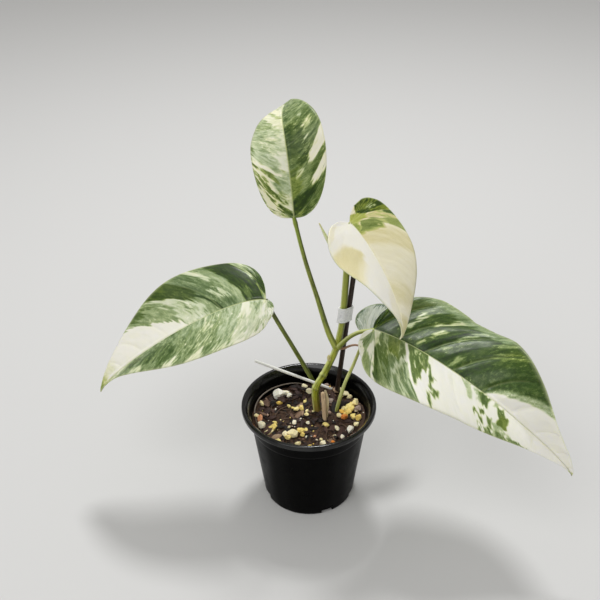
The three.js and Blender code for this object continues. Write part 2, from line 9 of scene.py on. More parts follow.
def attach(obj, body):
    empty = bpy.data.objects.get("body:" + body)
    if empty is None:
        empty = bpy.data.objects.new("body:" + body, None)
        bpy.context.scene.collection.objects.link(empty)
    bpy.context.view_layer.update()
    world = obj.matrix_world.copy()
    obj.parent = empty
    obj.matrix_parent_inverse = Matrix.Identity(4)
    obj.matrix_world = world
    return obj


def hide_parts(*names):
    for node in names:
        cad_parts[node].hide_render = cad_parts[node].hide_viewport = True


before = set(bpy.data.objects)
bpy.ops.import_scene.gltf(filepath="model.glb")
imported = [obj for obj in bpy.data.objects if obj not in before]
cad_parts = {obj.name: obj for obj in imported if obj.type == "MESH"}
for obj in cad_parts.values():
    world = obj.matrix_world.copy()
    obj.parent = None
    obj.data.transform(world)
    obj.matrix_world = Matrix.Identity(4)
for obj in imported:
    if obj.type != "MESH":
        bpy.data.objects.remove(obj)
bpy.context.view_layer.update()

# A variegated Epipremnum pinnatum in a black nursery pot. Sizes are in millimetres and are turned
# into metres where a mesh is made. Paths, blade curves and pot sizes are those of the CAD part,
# apart from the pot's floor, the dry sheath and the loose root.

MM = 0.001

# Pot
POT_HEIGHT = 81
RIM_RADIUS = 50
BASE_RADIUS = 34.5
NECK_RADIUS = 44
NECK_HEIGHT = 73
BAND_HEIGHT = 64
BAND_STEP = 0.5
POT_WALL = 1.3
FLOOR_TOP = 3.6
FOOT_SLOTS = 8
SLOT = {"width": 9, "depth": 6, "height": 5, "rounding": 1.2}
FACETS = {"count": 16, "depth": 0.1}

# Potting mix
SOIL_TOP = 66
SOIL_RELIEF = 0.84
SOIL_HEAP = {"at": (19, 32), "height": 2.6, "spread": 9}
SOIL_BANK = 3.8
SOIL_GAP = 0.2
ROOT_DEPTH = 50

# Stem, stalks and what stands beside them: centre lines and diameters
STEM_PATH = [(6.5, 8, ROOT_DEPTH), (6.5, 8, 66), (5.6, 10, 86), (12, 13, 98), (20.4, 18, 116),
             (24.4, 23, 133), (25.8, 24.3, 149), (27.3, 26, 178)]
STEM_DIAMETERS = [6, 6, 5, 5, 4.8, 4.9, 4.7]
STEM_NODES = [0.27, 0.36, 0.54, 0.76]
NODE_RISE = 0.6
BUD_PATH = [(16.6, 15, 107.3), (15.4, 14.2, 109.7), (14.8, 13.9, 111.9), (15.1, 14, 113.7)]
BUD_DIAMETERS = [1.8, 2.6, 2.2, 0.5]
PETIOLES = {
    "petiole_top": ([(20.4, 18, 117), (15, 18.6, 130), (7.1, 19.5, 157.9), (-1.9, 21, 189.8),
                     (-9.2, 25, 220.4)], [4.6, 3.9, 3.2, 2.9, 2.7]),
    "petiole_left": ([(8, 33.5, ROOT_DEPTH), (5.6, 37.6, 66), (-1.6, 36, 84.8), (-11.4, 33, 107.8),
                      (-22.4, 31, 132), (-28.4, 30.2, 146), (-30.4, 30, 151.9)],
                     [3.4, 3.4, 3.4, 3.3, 3.1, 3.2, 2.8]),
    "petiole_cream": ([(27.2, 26, 176), (27.6, 26.8, 190), (28, 28, 205), (29.1, 28, 214.6)],
                      [3.6, 3.4, 3.2, 2.8]),
    "petiole_right": ([(20.4, 18, 115.5), (25.4, 16, 123.2), (30.4, 13.2, 130.4), (37, 10.6, 136),
                       (46.8, 8, 139.4)], [4.4, 3.6, 3.1, 3, 2.8]),
    "petiole_small": ([(19, 5, ROOT_DEPTH), (21.2, 8.2, 66), (27.7, 18, 84.6), (34.1, 27, 94.2),
                       (40, 35, 105.5), (44.2, 40, 113.3)], [2.7, 2.8, 2.8, 2.6, 2.3, 2.1]),
}
SPIKE_PATH = [(25.6, 26.2, 180), (19, 27.6, 192), (13, 27.4, 204), (8, 26, 215.5)]
SPIKE_DIAMETERS = [3, 3.4, 2.6, 0.9]
STAKE_PATH = [(20.4, 28.3, ROOT_DEPTH), (35, 28, 196)]
STAKE_DIAMETER = 3.8
STAKE_JOINTS = {"apart": 61, "first": 30, "rise": 0.22, "reach": 0.9}
TIE = {"height": 12, "middle": 142, "thickness": 0.8, "slack": 0.5, "tilt": 0.25, "stem_radius": 2.3}
STICK_PATH = [(22.5, 33.1, 65.4), (-40, 25, 101)]
STICK_DIAMETER = 2.2
STUB_PATH = [(12.4, -3.4, 54), (11.9, -3, 66), (11.2, -2, 79), (10.4, -1, 90.5)]
STUB_DIAMETERS = [2.8, 2.8, 3, 2.9]
SHEATH_PATH = [(12.9, -1.6, 68), (13.7, -1.2, 79), (13.5, -0.6, 86.5), (12, 0, 91.6)]
SHEATH_DIAMETERS = [1.6, 2.2, 2, 1.2]
SHEATH_THICKNESS = 0.34
AERIAL_ROOT_PATH = [(22.4, 18.6, 116), (26.4, 19.8, 115.4), (30.7, 22, 115.9), (35.7, 25, 114.6),
                    (39.4, 26.6, 111.6)]
AERIAL_ROOT_DIAMETERS = [2, 1.8, 1.6, 1.5, 1]
LOOSE_ROOT_PATH = [(-38.5, -9, 68), (-40.5, 3, 71.5), (-36.5, 19, 71.5), (-25, 33, 70),
                   (-9, 39.5, 68.5), (2, 39.5, 65)]
LOOSE_ROOT_DIAMETERS = [0.77, 0.99, 1.045, 0.99, 0.88, 0.55]

# Blades. A place on one is a share from its joint to its tip and a share r from its midrib to its
# margin, on side +1 or -1. LOBE_SHARE is where the back lobe's edge ends, FIRST_VEIN where the
# fan of veins at the joint begins, and VEIN_SLANT how far veins run forward as they run out.
LOBE_SHARE = 0.42
FIRST_VEIN = 0.12
VEIN_SLANT = 0.75
FAN_VEINS = 5
WAVES = 1.6
HALF_THICKNESS = 0.33
KEEL = 1
KEEL_REACH = 1.1
VEIN_RIB = 0.25
VEIN_GROOVE = 0.4
FLECK_SLANT = 0.3
SIDES = (1, -1)

# Width, lobe_lift and wave are in millimetres, fold, fold_tip and curl in degrees, phase in radians,
# and the rest are shares of the midrib's length or of the width
HALF_BLADE = ("width", "lobe", "widest", "shoulder", "taper", "tip_fullness", "notch", "fold", "fold_tip",
              "curl", "lobe_lift", "wave", "phase")


def half_blade(*values):
    return dict(zip(HALF_BLADE, values))


def on_side(pair, side):
    """The value of a pair, side +1 first, that belongs to a side."""
    return pair[0 if side > 0 else 1]


LEAVES = {
    "leaf_top": dict(
        midrib=[(-9.2, 25, 220.4), (-14, 45.5, 289), (-22.5, 62.5, 281), (-10, 103, 277)],
        facing=[(0, -0.96, 0.28), (-0.35, 0.19, 0.92)], veins=13,
        halves=[half_blade(27, 0, 0.32, 0.44, 0.31, 0.14, 0.31, 15, 25, 25, 0, -1.3, 1.4),
                half_blade(24.5, 0, 0.3, 0.44, 0.31, 0.12, 0.44, 7, -6, 6, 0, 3.2, 0.3)]),
    "leaf_left": dict(
        midrib=[(-30.4, 30, 151.9), (-63, 24.5, 159), (-145.5, 6.5, 108), (-156.5, 13, 82.5)],
        facing=[(0.25, -0.26, 0.93), (-0.93, -0.13, 0.35)], veins=16,
        halves=[half_blade(40, 0, 0.33, 0.38, 0.27, 0.28, 0.34, 11, 32, 2, 0, -3.5, -0.1),
                half_blade(38.5, 0.044, 0.33, 0.46, 0.42, 0.04, 0.04, 13, 22, 21, 2.3, -1.7, 2)]),
    "leaf_cream": dict(
        midrib=[(29.1, 28, 214.6), (48, 14, 201), (70, -11.5, 156.5), (60.5, -28.5, 156.5)],
        facing=[(0.35, -0.38, 0.86), (0.86, -0.47, 0.2)], veins=13,
        halves=[half_blade(33.5, 0.066, 0.27, 0.44, 0.35, 0.14, 0.35, 14, 12, 7, 1.7, -2.6, -0.2),
                half_blade(34.5, 0.094, 0.24, 0.42, 0.4, 0.16, 0.27, 19, -1, 10, 2.9, -1.7, 0.3)]),
    "leaf_right": dict(
        midrib=[(46.8, 8, 139.4), (91.5, -7.5, 134), (171, -83.5, 96), (174.5, -75.5, 76.5)],
        facing=[(0.08, -0.12, 0.99), (0.21, -0.91, -0.34)], veins=18,
        halves=[half_blade(46, 0.046, 0.18, 0.33, 0.55, 0.07, 0.18, 18, 36, 33, 1.2, -4.5, 0.4),
                half_blade(48, 0.019, 0.27, 0.35, 0.44, 0.22, 0.05, 0, 32, 0, 0.8, 6.2, 0.7)]),
    "leaf_small": dict(
        midrib=[(44.2, 40, 113.3), (60, 46, 116), (78, 53, 113), (90, 58, 104)],
        facing=[(-0.3, -0.75, 0.6), (-0.1, -0.6, 0.8)], veins=9,
        halves=[half_blade(16, 0.05, 0.3, 0.4, 0.35, 0.14, 0.3, 8, 12, 12, 0.5, 0.8, 0.5),
                half_blade(21, 0.1, 0.28, 0.4, 0.35, 0.14, 0.3, 10, 12, 16, 0.8, 1, 0.3)]),
}

# How far each half blade rises between its side veins, in millimetres, how many flecks it has, and
# how ragged its patches are, all with side +1 first
RELIEF = {"leaf_top": (0.2, 0.2), "leaf_left": (0.3, 0.2), "leaf_cream": (0.08, 0.16),
          "leaf_right": (0.35, 1.7), "leaf_small": (0.3, 0.3)}
FLECKS = {"leaf_top": (0.9, 0.9), "leaf_left": (0.6, 0.9), "leaf_cream": (0.2, 0.3),
          "leaf_right": (0.4, 0.75), "leaf_small": (0.6, 0.6)}
RAGGED = {"leaf_top": (1, 1), "leaf_left": (1, 1), "leaf_cream": (0.08, 0.35),
          "leaf_right": (0.7, 0.4), "leaf_small": (1, 1)}
MIDRIB_FLECKS = 0.4

# Outlines, side by side with the half blades: at each edge share, a factor on the width and how
# far the edge is lifted
TRIMS = {
    ("leaf_cream", 1): [(0, 1, 0), (0.15, 1.03, 0), (0.3, 1.1, 0), (0.42, 1.1, 0), (0.55, 1.03, 0),
                        (1, 1, 0)],
    ("leaf_top", -1): [(0, 1, 0), (0.6, 1, 0), (0.72, 0.97, 0), (0.85, 0.86, 0), (1, 0.8, 0)],
    ("leaf_left", 1): [(0, 1, 0), (0.7, 1, 0), (0.85, 0.9, 0), (0.93, 0.75, 0), (1, 0.8, 0)],
    ("leaf_left", -1): [(0, 1, 0), (0.75, 1, 0), (0.9, 0.85, 0), (1, 0.8, 0)],
    ("leaf_right", -1): [(0, 1, 0), (0.2, 1, 0), (0.3, 1.02, 2), (0.37, 1.01, 1.5), (0.44, 0.955, -2.5),
                         (0.5, 0.975, -1.5), (0.56, 1.02, 1.5), (0.62, 1.025, 2), (0.7, 1, 0),
                         (0.78, 1.01, 1), (0.88, 0.98, 0), (0.96, 0.8, 0), (1, 0.8, 0)],
    ("leaf_right", 1): [(0, 1, 0), (0.55, 1, 0), (0.64, 0.97, 0), (0.75, 1, 0), (0.9, 1, 0),
                        (0.96, 0.85, 0), (1, 0.8, 0)],
}
UNTRIMMED = [(0, 1, 0), (1, 1, 0)]

# Repeatable noise, from large odd numbers that scramble whole numbers: one each for x, y, the seed
# and the second round
SCRAMBLE = (374761393, 668265263, 974634777, 1274126177)
LOW_32_BITS = 0xFFFFFFFF
LOW_16_BITS = 0xFFFF


def lattice(ix, iy, seed):
    """The same value from 0 to 1 for the same whole numbers on every run."""
    n = ix.astype(np.int64) * SCRAMBLE[0] + iy.astype(np.int64) * SCRAMBLE[1] + seed * SCRAMBLE[2]
    n = n & LOW_32_BITS
    n = ((n ^ (n >> 13)) * SCRAMBLE[3]) & LOW_32_BITS
    return ((n ^ (n >> 16)) & LOW_16_BITS) / LOW_16_BITS


def noise(x, y, seed=0, octaves=1):
    """Smooth noise from -1 to 1 over two arrays of coordinates."""
    x, y = np.broadcast_arrays(np.asarray(x, float), np.asarray(y, float))
    total, weight, size = 0.0, 1.0, 0.0
    for octave in range(octaves):
        ix, iy = np.floor(x), np.floor(y)
        fx, fy = x - ix, y - iy
        fx, fy = fx * fx * (3 - 2 * fx), fy * fy * (3 - 2 * fy)
        key = seed + 31 * octave
        low = lattice(ix, iy, key) * (1 - fx) + lattice(ix + 1, iy, key) * fx
        high = lattice(ix, iy + 1, key) * (1 - fx) + lattice(ix + 1, iy + 1, key) * fx
        total = total + weight * (2 * (low * (1 - fy) + high * fy) - 1)
        size += weight
        weight *= 0.5
        x, y = 2.03 * x + 17.1, 2.03 * y + 5.7
    return total / size


def smooth(low, high, x):
    """A soft step from 0 at low to 1 at high."""
    t = np.clip((x - low) / (high - low), 0, 1)
    return t * t * (3 - 2 * t)


def hump(x, middle, reach):
    return np.exp(-((x - middle) / reach)**2)


def unit(v):
    return v / np.linalg.norm(v, axis=-1, keepdims=True)


# Blade surface

EDGE_STEPS = 1601


def bezier(points, t):
    p = np.asarray(points, float)
    t = np.asarray(t, float)[..., None]
    return (1 - t)**3 * p[0] + 3 * (1 - t)**2 * t * p[1] + 3 * (1 - t) * t * t * p[2] + t**3 * p[3]


def bezier_slope(points, t):
    p = np.asarray(points, float)
    t = np.asarray(t, float)[..., None]
    return 3 * (1 - t)**2 * (p[1] - p[0]) + 6 * (1 - t) * t * (p[2] - p[1]) + 3 * t * t * (p[3] - p[2])


def blade_edge(half, share):
    """Place along the midrib as a fraction, and distance from it, of the edge at this share of it."""
    share = np.asarray(share, float)
    back, width, widest = -half["lobe"] / 0.7, half["width"], half["widest"]
    rest = 1 - widest
    lobe = bezier([(0, 0), (back, half["notch"] * width), (back, width), (widest, width)],
                  np.clip(share / LOBE_SHARE, 0, 1))
    flank = bezier([(widest, width), (widest + half["shoulder"] * rest, width),
                    (1 - half["taper"] * rest, half["tip_fullness"] * width), (1, 0)],
                   np.clip((share - LOBE_SHARE) / (1 - LOBE_SHARE), 0, 1))
    edge = np.where((share < LOBE_SHARE)[..., None], lobe, flank)
    return edge[..., 0], edge[..., 1]


def midrib_frame(leaf, along):
    """Point of the midrib at a fraction of it, with the upper side's direction and the side's."""
    inside = np.clip(along, 0, 1)
    forward = unit(bezier_slope(leaf["midrib"], inside))
    point = bezier(leaf["midrib"], inside) + forward * (np.minimum(along, 0) * leaf["length"])[..., None]
    turn = (inside * inside * (3 - 2 * inside))[..., None]
    first, last = (unit(np.array(v, float)) for v in leaf["facing"])
    up = first * (1 - turn) + last * turn
    up = unit(up - forward * (up * forward).sum(-1, keepdims=True))
    return point, up, np.cross(forward, up)


def blade_point(leaf, side, along, across):
    """A place on the smooth blade: folded up along the midrib, curled down to the edge, and wavy."""
    half = on_side(leaf["halves"], side)
    inside = np.clip(along, 0, 1)
    fold = np.radians(half["fold"] + (half["fold_tip"] - half["fold"]) * inside)
    bend = math.radians(max(half["curl"], 0.01)) / half["width"]
    out = (np.sin(fold) - np.sin(fold - bend * across)) / bend
    lobe = np.where(along < 0, half["lobe_lift"] * (along / max(half["lobe"], 0.02))**2, 0)
    wave = half["wave"] * (across / half["width"])**2 * np.sin(2 * np.pi * WAVES * along + half["phase"])
    rise = (np.cos(fold - bend * across) - np.cos(fold)) / bend + lobe + wave
    point, up, aside = midrib_frame(leaf, along)
    return point + aside * (side * out)[..., None] + up * rise[..., None]


def vein_rows(leaf, half, index, r):
    """Blade places on veins. Index is -5 at the foot's edge, 0 at the last fan vein, then one
    for each vein, and r goes from the midrib to the edge. Returns along, across, edge share."""
    shares = np.linspace(0.2, 1, EDGE_STEPS)
    along, across = blade_edge(half, shares)
    roots = np.maximum.accumulate(along - VEIN_SLANT * across / leaf["length"])
    fan_end = np.interp(0, roots, shares)
    root = np.clip(index / leaf["veins"], 0, 1)
    fan = FIRST_VEIN + (fan_end - FIRST_VEIN) * (np.clip(index, 1 - FAN_VEINS, 0) / FAN_VEINS + 1)
    share = np.where(index <= 0, fan, np.interp(root, roots, shares))

    edge_along, edge_across = blade_edge(half, share)
    bow = 2 * (1 - r) * r
    along = (1 - r)**2 * root + bow * (root * 0.75 + edge_along * 0.25) + r * r * edge_along
    across = bow * (0.6 * edge_across) + r * r * edge_across

    foot_along, foot_across = blade_edge(half, FIRST_VEIN * r)
    foot = np.clip(1 - FAN_VEINS - index, 0, 1)
    along = along * (1 - foot) + foot_along * foot
    across = across * (1 - foot) + foot_across * foot
    share = share * (1 - foot) + FIRST_VEIN * r * foot
    return along, across, share


# Variegation: patches along the veins, on a ground. The ground of a half blade and each patch have
# a greenness from 0, cream, to 1, dark green, and a tint from 0, grey, to 1, yellow. A patch then
# has a strip: at each r from the midrib outwards, the lowest and highest edge share that it spans.
# A fourth number from 0 to 1 breaks the patch up, and a fifth is how softly it ends, in edge
# shares. MID lies under the midrib, OUT past the margin and END past the tip.
# Some patches are painted light rather than the skin's own colour: grey sheen bands and highlights, dark
# lines of shade in vein valleys, and the shade in the cream leaf's hollow.
MID = -0.2
OUT = 1.2
END = 1.1

PATTERNS = {
    ("leaf_top", 1): (0.64, 0.45, [
        (0.7, 0.8, [(MID, 0, 0.34), (0.15, 0, 0.34), (0.3, 0, 0.15)]),
        (0.6, 0.95, [(0.12, 0.12, 0.34), (0.25, 0.15, 0.34), (0.4, 0.1, 0.25)], 0.2),
        (0.8, 0.6, [(0.3, 0.2, 0.345), (0.5, 0.17, 0.34), (0.65, 0.12, 0.28), (OUT, 0.1, 0.22)]),
        (0.66, 0.55, [(0.45, 0.3, 0.36), (0.65, 0.26, 0.34), (1, 0.22, 0.33)], 0.1),
        (0.45, 0.2, [(0.6, 0.16, 0.22), (OUT, 0.14, 0.26)], 0.5),
        (0.93, 0.9, [(MID, 0.34, 0.375), (0.2, 0.34, 0.38), (0.4, 0.345, 0.375), (0.6, 0.335, 0.36)]),
        (0.1, 0.7, [(0.55, 0.37, 0.385), (0.75, 0.357, 0.388), (OUT, 0.345, 0.385)], 0.1),
        (0.7, 0.5, [(0.5, 0.385, 0.41), (0.85, 0.388, 0.405), (OUT, 0.388, 0.4)]),
        (0.1, 0.7, [(0.4, 0.435, 0.443), (0.6, 0.415, 0.455), (0.85, 0.408, 0.47), (OUT, 0.405, 0.475)], 0.1),
        (0.62, 0.95, [(MID, 0.378, 0.45), (0.25, 0.385, 0.43)], 0.15),
        (0.3, 0.4, [(0.1, 0.412, 0.43), (0.32, 0.415, 0.432)], 0.55),
        (0.85, 0.7, [(0.15, 0.43, 0.45), (0.38, 0.44, 0.462), (0.55, 0.46, 0.475)], 0.1),
        (0.76, 0.55, [(MID, 0.47, 0.62), (0.3, 0.47, 0.6), (0.5, 0.49, 0.55)]),
        (0.3, 0.2, [(0.42, 0.492, 0.499), (0.62, 0.495, 0.503)], 0.2),
        (0.38, 0.5, [(0.52, 0.535, 0.56), (0.66, 0.53, 0.572), (0.8, 0.54, 0.565)], 0.3),
        (0.42, 0.2, [(0.5, 0.6, 0.615), (0.75, 0.62, 0.635), (0.95, 0.645, 0.66)], 0.2),
        (0.58, 0.25, [(MID, 0.63, END), (OUT, 0.62, END)], 0.1),
        (0.68, 0.3, [(0, 0.64, 0.72), (0.4, 0.66, 0.74)], 0.6),
    ]),
    ("leaf_top", -1): (0.28, 0.2, [
        (0.85, 0.8, [(MID, 0, 0.345), (0.1, 0, 0.345), (0.2, 0, 0.1)]),
        (0.18, 0.5, [(0.2, 0.12, 0.34), (OUT, 0.1, 0.34)]),
        (0.66, 0.7, [(0.12, 0.25, 0.34), (0.3, 0.29, 0.345), (0.5, 0.31, 0.34)], 0.3),
        (0.45, 0.5, [(0.15, 0.12, 0.3), (0.45, 0.12, 0.25)], 0.5),
        (0.62, 0.7, [(0.35, 0.2, 0.345), (1, 0.18, 0.34)], 0.72),
        (0.14, 0.6, [(0.4, 0.3, 0.4), (0.6, 0.26, 0.41), (OUT, 0.22, 0.4)], 0.3),
        (0.75, 0.7, [(0.05, 0.335, 0.349), (0.3, 0.337, 0.351), (0.42, 0.34, 0.35)], 0.1),
        (0.66, 0.7, [(0.1, 0.362, 0.373), (0.4, 0.358, 0.372), (0.7, 0.354, 0.366)], 0.35),
        (0.58, 0.7, [(0.1, 0.38, 0.39), (0.3, 0.376, 0.386)], 0.45),
        (0.6, 0.7, [(0.5, 0.33, 0.385), (1, 0.32, 0.37)], 0.72),
        (0.46, 0, [(MID, 0.385, 0.44), (0.2, 0.385, 0.435), (0.42, 0.39, 0.42)], 0.5),
        (0.62, 0.75, [(0.3, 0.4, 0.412), (0.55, 0.394, 0.405), (0.8, 0.386, 0.397), (1, 0.378, 0.388)], 0.35),
        (0.52, 0.6, [(0.15, 0.43, 0.45), (0.8, 0.41, 0.43)], 0.75),
        (0.1, 0.5, [(0.3, 0.412, 0.43), (0.6, 0.405, 0.424), (0.8, 0.4, 0.41)], 0.15),
        (0.42, 0, [(0.25, 0.435, 0.475), (0.5, 0.425, 0.49), (0.8, 0.42, 0.47), (1.1, 0.42, 0.45)], 0.2),
        (0.2, 0.1, [(MID, 0.44, 0.5), (0.2, 0.44, 0.5)], 0.4),
        (0.42, 0.1, [(0.2, 0.48, 0.6), (OUT, 0.46, 0.58)], 0.4),
        (0.22, 0.4, [(0.3, 0.53, 0.55), (0.5, 0.53, 0.55)], 0.5),
        (0.46, 0.2, [(0.4, 0.6, 0.66), (0.7, 0.59, 0.68), (OUT, 0.6, 0.7)], 0.2),
        (0.22, 0.4, [(MID, 0.6, 0.68), (0.3, 0.63, 0.69), (0.6, 0.66, 0.71), (OUT, 0.7, 0.74)], 0.2),
        (0.42, 0.5, [(0.05, 0.675, 0.7), (0.4, 0.69, 0.73), (0.7, 0.73, 0.76), (OUT, 0.75, 0.78)], 0.1),
        (0.18, 0.6, [(0.05, 0.7, 0.78), (0.4, 0.735, 0.8), (OUT, 0.78, 0.87)]),
        (0.38, 0.3, [(0.3, 0.78, 0.8), (OUT, 0.81, 0.84)], 0.3),
        (0.57, 0.4, [(MID, 0.85, END), (OUT, 0.9, END)]),
        # Painted shade: a dark line along the margin near the joint
        (0.66, 0.4, [(0.972, 0, 0.46), (OUT, 0, 0.46)], 0.1),
    ]),
    ("leaf_left", 1): (0.53, 0.1, [
        (0.3, 0.5, [(MID, 0, 0.355), (0.08, 0, 0.355), (0.14, 0, 0.2)]),
        (0.74, 0.3, [(0.5, 0.12, 0.33), (OUT, 0.12, 0.27)], 0.1),
        (0.88, 0.55, [(0.1, 0.2, 0.36), (0.3, 0.14, 0.36), (0.58, 0.12, 0.36)]),
        (0.5, 0.2, [(0.45, 0.3, 0.345), (0.7, 0.27, 0.33), (1, 0.25, 0.32)], 0.65),
        (0.36, 0.15, [(0.4, 0.35, 0.36), (0.6, 0.332, 0.348), (0.8, 0.308, 0.326), (OUT, 0.28, 0.3)], 0.5),
        (0.9, 0.8, [(MID, 0.362, 0.42), (0.4, 0.36, 0.415), (0.7, 0.35, 0.405), (OUT, 0.33, 0.39)]),
        (0.45, 0.9, [(0, 0.355, 0.362), (0.3, 0.356, 0.362)]),
        (0.7, 0.5, [(0, 0.395, 0.41), (0.35, 0.39, 0.41)], 0.6),
        (0.46, 0.1, [(0.1, 0.418, 0.44), (0.5, 0.415, 0.435), (0.8, 0.4, 0.42)], 0.5),
        # Painted sheen: a grey band of reflected light across the half
        (0.62, 0, [(MID, 0.44, 0.5), (0.5, 0.44, 0.5), (OUT, 0.43, 0.5)], 0, 0.01),
        (0.34, 0, [(0.1, 0.45, 0.465), (0.35, 0.452, 0.468)], 0.5),
        (0.32, 0, [(0.2, 0.472, 0.485), (0.4, 0.475, 0.485)], 0.6),
        (0.26, 0.1, [(0.62, 0.443, 0.452), (0.8, 0.427, 0.446), (OUT, 0.402, 0.43)], 0.42),
        # Painted shade: a dark line in a vein valley
        (0.86, 0.3, [(MID, 0.493, 0.505), (0.2, 0.5, 0.512), (0.45, 0.515, 0.53)]),
        (0.77, 0.9, [(0.42, 0.515, 0.54), (0.7, 0.5, 0.575), (OUT, 0.49, 0.59)]),
        (0.62, 0, [(0.4, 0.49, 0.51), (OUT, 0.46, 0.495)]),
        (0.28, 0, [(MID, 0.525, 0.6), (0.3, 0.54, 0.61), (0.6, 0.56, 0.62), (0.8, 0.58, 0.61)], 0.1),
        (0.48, 0.05, [(0, 0.53, 0.57), (0.5, 0.55, 0.6)], 0.78),
        (0.5, 0.15, [(0.3, 0.6, 0.64), (0.5, 0.585, 0.665), (0.8, 0.585, 0.69), (OUT, 0.6, 0.71)], 0.35),
        (0.68, 0.4, [(0.8, 0.6, 0.66), (OUT, 0.61, 0.69)], 0.5),
        (0.07, 0.3, [(MID, 0.59, END), (0.25, 0.625, END), (0.5, 0.665, END), (0.95, 0.7, END),
                     (OUT, 0.71, END)]),
        (0.18, 0.4, [(0.3, 0.84, 0.95), (OUT, 0.82, 0.95)], 0, 0.03),
        (0.34, 0.8, [(MID, 0.91, 0.97), (OUT, 0.88, 0.97)], 0, 0.03),
        (0.52, 1, [(MID, 0.94, END), (OUT, 0.92, END)], 0, 0.03),
    ]),
    ("leaf_left", -1): (0.57, 0.15, [
        (0.14, 0.1, [(0.12, 0.25, 0.365), (0.3, 0.17, 0.365), (0.6, 0.14, 0.36), (OUT, 0.12, 0.36)]),
        (0.3, 0.5, [(MID, 0, 0.37), (0.1, 0, 0.37), (0.16, 0, 0.2)]),
        (0.5, 0.1, [(0.2, 0.12, 0.3), (0.3, 0.12, 0.26), (0.5, 0.12, 0.18), (0.8, 0.12, 0.15)], 0.2),
        (0.45, 0.1, [(0.45, 0.3, 0.365), (0.8, 0.32, 0.37)], 0.65),
        (0.42, 0.1, [(0.2, 0.2, 0.34), (1.1, 0.14, 0.32)], 0.8),
        (0.34, 0.1, [(MID, 0.365, 0.43), (0.6, 0.36, 0.4), (OUT, 0.35, 0.38)], 0.3),
        (0.2, 0.15, [(MID, 0.41, 0.436), (0.3, 0.398, 0.426), (0.6, 0.384, 0.415), (0.9, 0.366, 0.4),
                     (1.1, 0.355, 0.39)], 0.4),
        (0.36, 0.1, [(0.35, 0.395, 0.425), (0.9, 0.37, 0.41)], 0.7),
        (0.34, 0.2, [(0.55, 0.4, 0.44), (OUT, 0.38, 0.44)], 0.6),
        (0.48, 0.2, [(0.02, 0.365, 0.4), (0.2, 0.37, 0.385), (0.35, 0.372, 0.382)], 0.4),
        (0.44, 0, [(MID, 0.435, 0.47), (0.4, 0.42, 0.47), (0.8, 0.41, 0.45)], 0.2),
        (0.5, 0, [(MID, 0.47, 0.62), (0.25, 0.47, 0.6)], 0.35),
        (0.25, 0.35, [(0.82, 0.46, 0.5), (OUT, 0.44, 0.52)], 0.4),
        (0.25, 0.35, [(0.85, 0.55, 0.585), (OUT, 0.54, 0.6)], 0.4),
        (0.6, 0.1, [(MID, 0.62, 0.72), (0.35, 0.62, 0.72)], 0.2),
        (0.72, 0.3, [(0.3, 0.64, 0.7), (0.5, 0.6, 0.72), (0.75, 0.58, 0.71), (0.85, 0.6, 0.68)], 0.15),
        (0.78, 0.4, [(0.2, 0.745, 0.765), (0.45, 0.73, 0.78), (0.75, 0.75, 0.775)], 0.1),
        (0.3, 0.3, [(0.8, 0.69, 0.73), (OUT, 0.66, 0.74)], 0.4),
        (0.3, 0.3, [(0.05, 0.5, 0.56), (0.7, 0.47, 0.55)], 0.9),
        (0.45, 0.3, [(MID, 0.785, 0.86), (OUT, 0.81, 0.9)], 0.1),
        (0.25, 0.3, [(MID, 0.79, 0.84), (OUT, 0.83, 0.87)], 0.6),
        (0.42, 0.6, [(MID, 0.87, 0.95), (OUT, 0.89, 0.95)]),
        (0.6, 1, [(MID, 0.94, END), (OUT, 0.95, END)]),
    ]),
    ("leaf_cream", 1): (0.06, 0.4, [
        (0.5, 1, [(MID, 0, 0.42), (0.05, 0, 0.42), (0.1, 0, 0.15)]),
        (0.1, 0.8, [(0.7, 0.2, 0.33), (OUT, 0.18, 0.33)], 0, 0.02),
        # Painted shade: the khaki hollow of the near half, darker along its upper edge, as two nested patches
        (0.13, 1, [(0.4, 0.49, 0.57), (0.55, 0.43, 0.57), (0.8, 0.39, 0.56), (OUT, 0.35, 0.54)], 0, 0.04),
        (0.17, 1, [(0.3, 0.525, 0.55), (0.45, 0.47, 0.54), (0.6, 0.43, 0.53), (0.8, 0.4, 0.52),
                      (OUT, 0.365, 0.51)], 0, 0.025),
        (0.1, 0.8, [(MID, 0.7, 0.86), (0.4, 0.72, 0.88), (OUT, 0.78, 0.9)], 0, 0.03),
        (0.18, 0.9, [(0.3, 0.88, END), (OUT, 0.84, END)], 0, 0.03),
    ]),
    ("leaf_cream", -1): (0.11, 0.85, [
        (0.42, 1, [(MID, 0, 0.46), (0.1, 0, 0.46), (0.3, 0, 0.43), (0.42, 0, 0.3)], 0, 0.015),
        (0.34, 1, [(MID, 0, 0.45), (0.06, 0, 0.44), (0.1, 0, 0.3)]),
        (0.85, 0.9, [(0.34, 0.28, 0.335), (0.45, 0.17, 0.355), (0.65, 0.12, 0.36), (OUT, 0.1, 0.345)]),
        (0.6, 0.9, [(0.5, 0.14, 0.3), (1.1, 0.12, 0.3)], 0.6),
        (0.42, 0.3, [(0.58, 0.27, 0.32), (0.8, 0.27, 0.32)], 0.5),
        (0.58, 1, [(0.5, 0.325, 0.355), (0.8, 0.33, 0.355), (OUT, 0.33, 0.35)], 0.4),
        (0.2, 0.95, [(0.33, 0.37, 0.42), (0.5, 0.36, 0.415), (0.8, 0.365, 0.4), (0.95, 0.37, 0.39)], 0.15),
        (0.42, 0.7, [(0.35, 0.36, 0.42), (0.9, 0.36, 0.4)], 0.85),
        (0.72, 0.3, [(0.78, 0.36, 0.375), (OUT, 0.35, 0.385)], 0.3),
        (0.5, 0.6, [(0.35, 0.42, 0.46), (0.55, 0.42, 0.455), (0.8, 0.4, 0.44), (OUT, 0.375, 0.42)], 0.15),
        (0.32, 0.8, [(0.48, 0.43, 0.455), (0.66, 0.42, 0.445)], 0.3),
